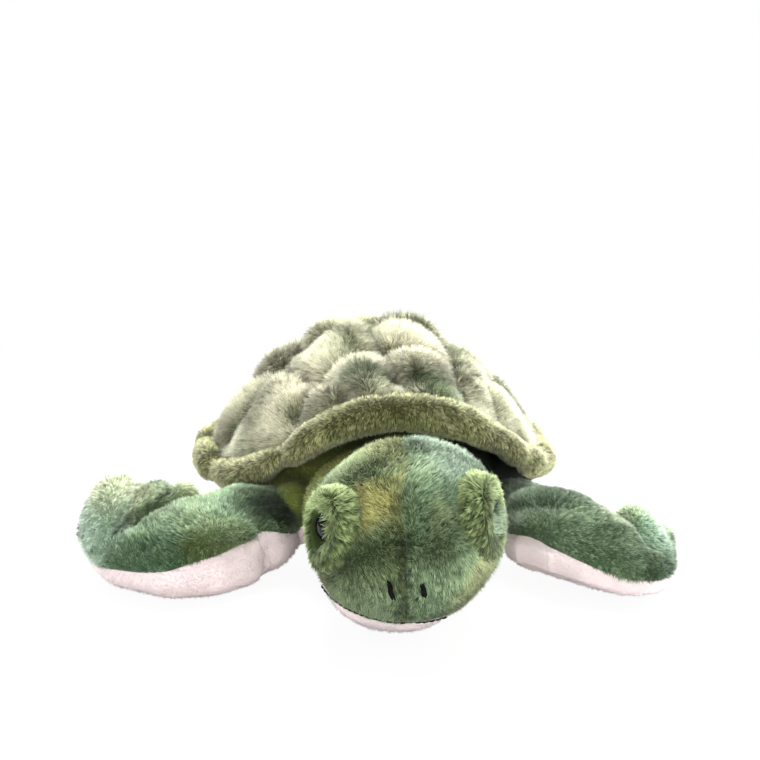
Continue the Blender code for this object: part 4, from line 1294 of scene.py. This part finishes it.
def makeEye(side):
    _, _, centre, axis = aroundEye(side)
    points, _ = readPoints(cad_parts[f"{side}_eye"])
    top = points[np.argmax(points @ axis)]
    top = centre + axis * ((top - centre) @ axis) + axis * eyeSettings[side]["lift"]
    radius = eyeSettings[side]["radius"]
    turn = Vector(axis).to_track_quat("Z", "Y").to_euler()
    bpy.ops.mesh.primitive_uv_sphere_add(segments=48, ring_count=24, radius=radius,
                                         location=Vector(top - axis * radius * 0.9), rotation=turn)
    eye = bpy.context.object
    eye.name = eye.data.name = f"{side}_safety_eye"
    bpy.ops.object.transform_apply(location=True, rotation=True, scale=True)
    eye.data.materials.append(eyeBlack)
    eye.data.shade_smooth()
    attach(eye, "head")
    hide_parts(f"{side}_eye")


for side in ("left", "right"):
    makeEye(side)


def threadBundle(name, routes, radius, nodes):
    curve = bpy.data.curves.new(name, "CURVE")
    curve.dimensions = "3D"
    curve.bevel_depth = radius
    curve.bevel_resolution = 2
    curve.use_fill_caps = True
    for route in routes:
        line = curve.splines.new("POLY")
        line.points.add(len(route) - 1)
        for index, point in enumerate(route):
            line.points[index].co = (*point, 1)
            end = min(index, len(route) - 1 - index)
            line.points[index].radius = min(1, 0.55 + 0.45 * end)
    piece = bpy.data.objects.new(name, curve)
    scene.collection.objects.link(piece)
    clearSelection()
    piece.select_set(True)
    bpy.context.view_layer.objects.active = piece
    bpy.ops.object.convert(target="MESH")
    piece = bpy.context.object
    piece.data.materials.clear()
    piece.data.materials.append(threadBlack)
    piece.data.shade_smooth()
    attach(piece, "head")
    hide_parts(*nodes)


def onHead(point, lift):
    spot, normal, _, _ = trees["head"].find_nearest(Vector(point))
    return spot + normal * lift


def makeEmbroidery(settings):
    rng = np.random.default_rng(21)
    for side, (top, bottom) in settings["nostrils"].items():
        routes = []
        for thread in range(settings["threads"]):
            shift = (thread - (settings["threads"] - 1) / 2) * settings["spacing"]
            high = Vector(top) + Vector((shift, 0, rng.uniform(-0.0006, 0.0006)))
            low = Vector(bottom) + Vector((shift * 1.25, 0, rng.uniform(-0.0006, 0.0006)))
            lift = settings["nostrilLift"] - abs(shift) * 0.4
            routes.append([onHead(high.lerp(low, step / 6), lift + 0.0003 * math.sin(math.pi * step / 6))
                           for step in range(7)])
        threadBundle(f"{side}_nostril_threads", routes, settings["nostrilRadius"],
                     [f"{side}_nostril_stitch"])
    middle = Vector((0.004, -0.135, headSettings["chinHeight"]))
    routes = []
    count = settings["mouthStitches"]
    span = settings["mouthTo"] - settings["mouthFrom"]
    for stitch in range(count):
        route = []
        for step in range(4):
            angle = math.radians(settings["mouthFrom"] + span * (stitch + step * 0.33) / count)
            way = Vector((math.sin(angle), -math.cos(angle), 0))
            spot = trees["head"].ray_cast(middle, way)[0]
            level = lipLevel(np.array([spot]))[0]
            beside = trees["head"].ray_cast(Vector((*middle[:2], level + settings["mouthBeside"])), way)[0]
            spot = beside or spot
            rise = settings["mouthLift"] + 0.0003 * (step in (1, 2))
            wobble = rng.uniform(-0.0001, 0.0001)
            route.append(Vector((*(spot + way * rise)[:2], level + settings["mouthRise"] + wobble)))
        routes.append(route)
    threadBundle("mouth_threads", routes, settings["mouthRadius"], ["mouth_stitch"])


makeEmbroidery(embroiderySettings)
print("eyes and embroidery placed")
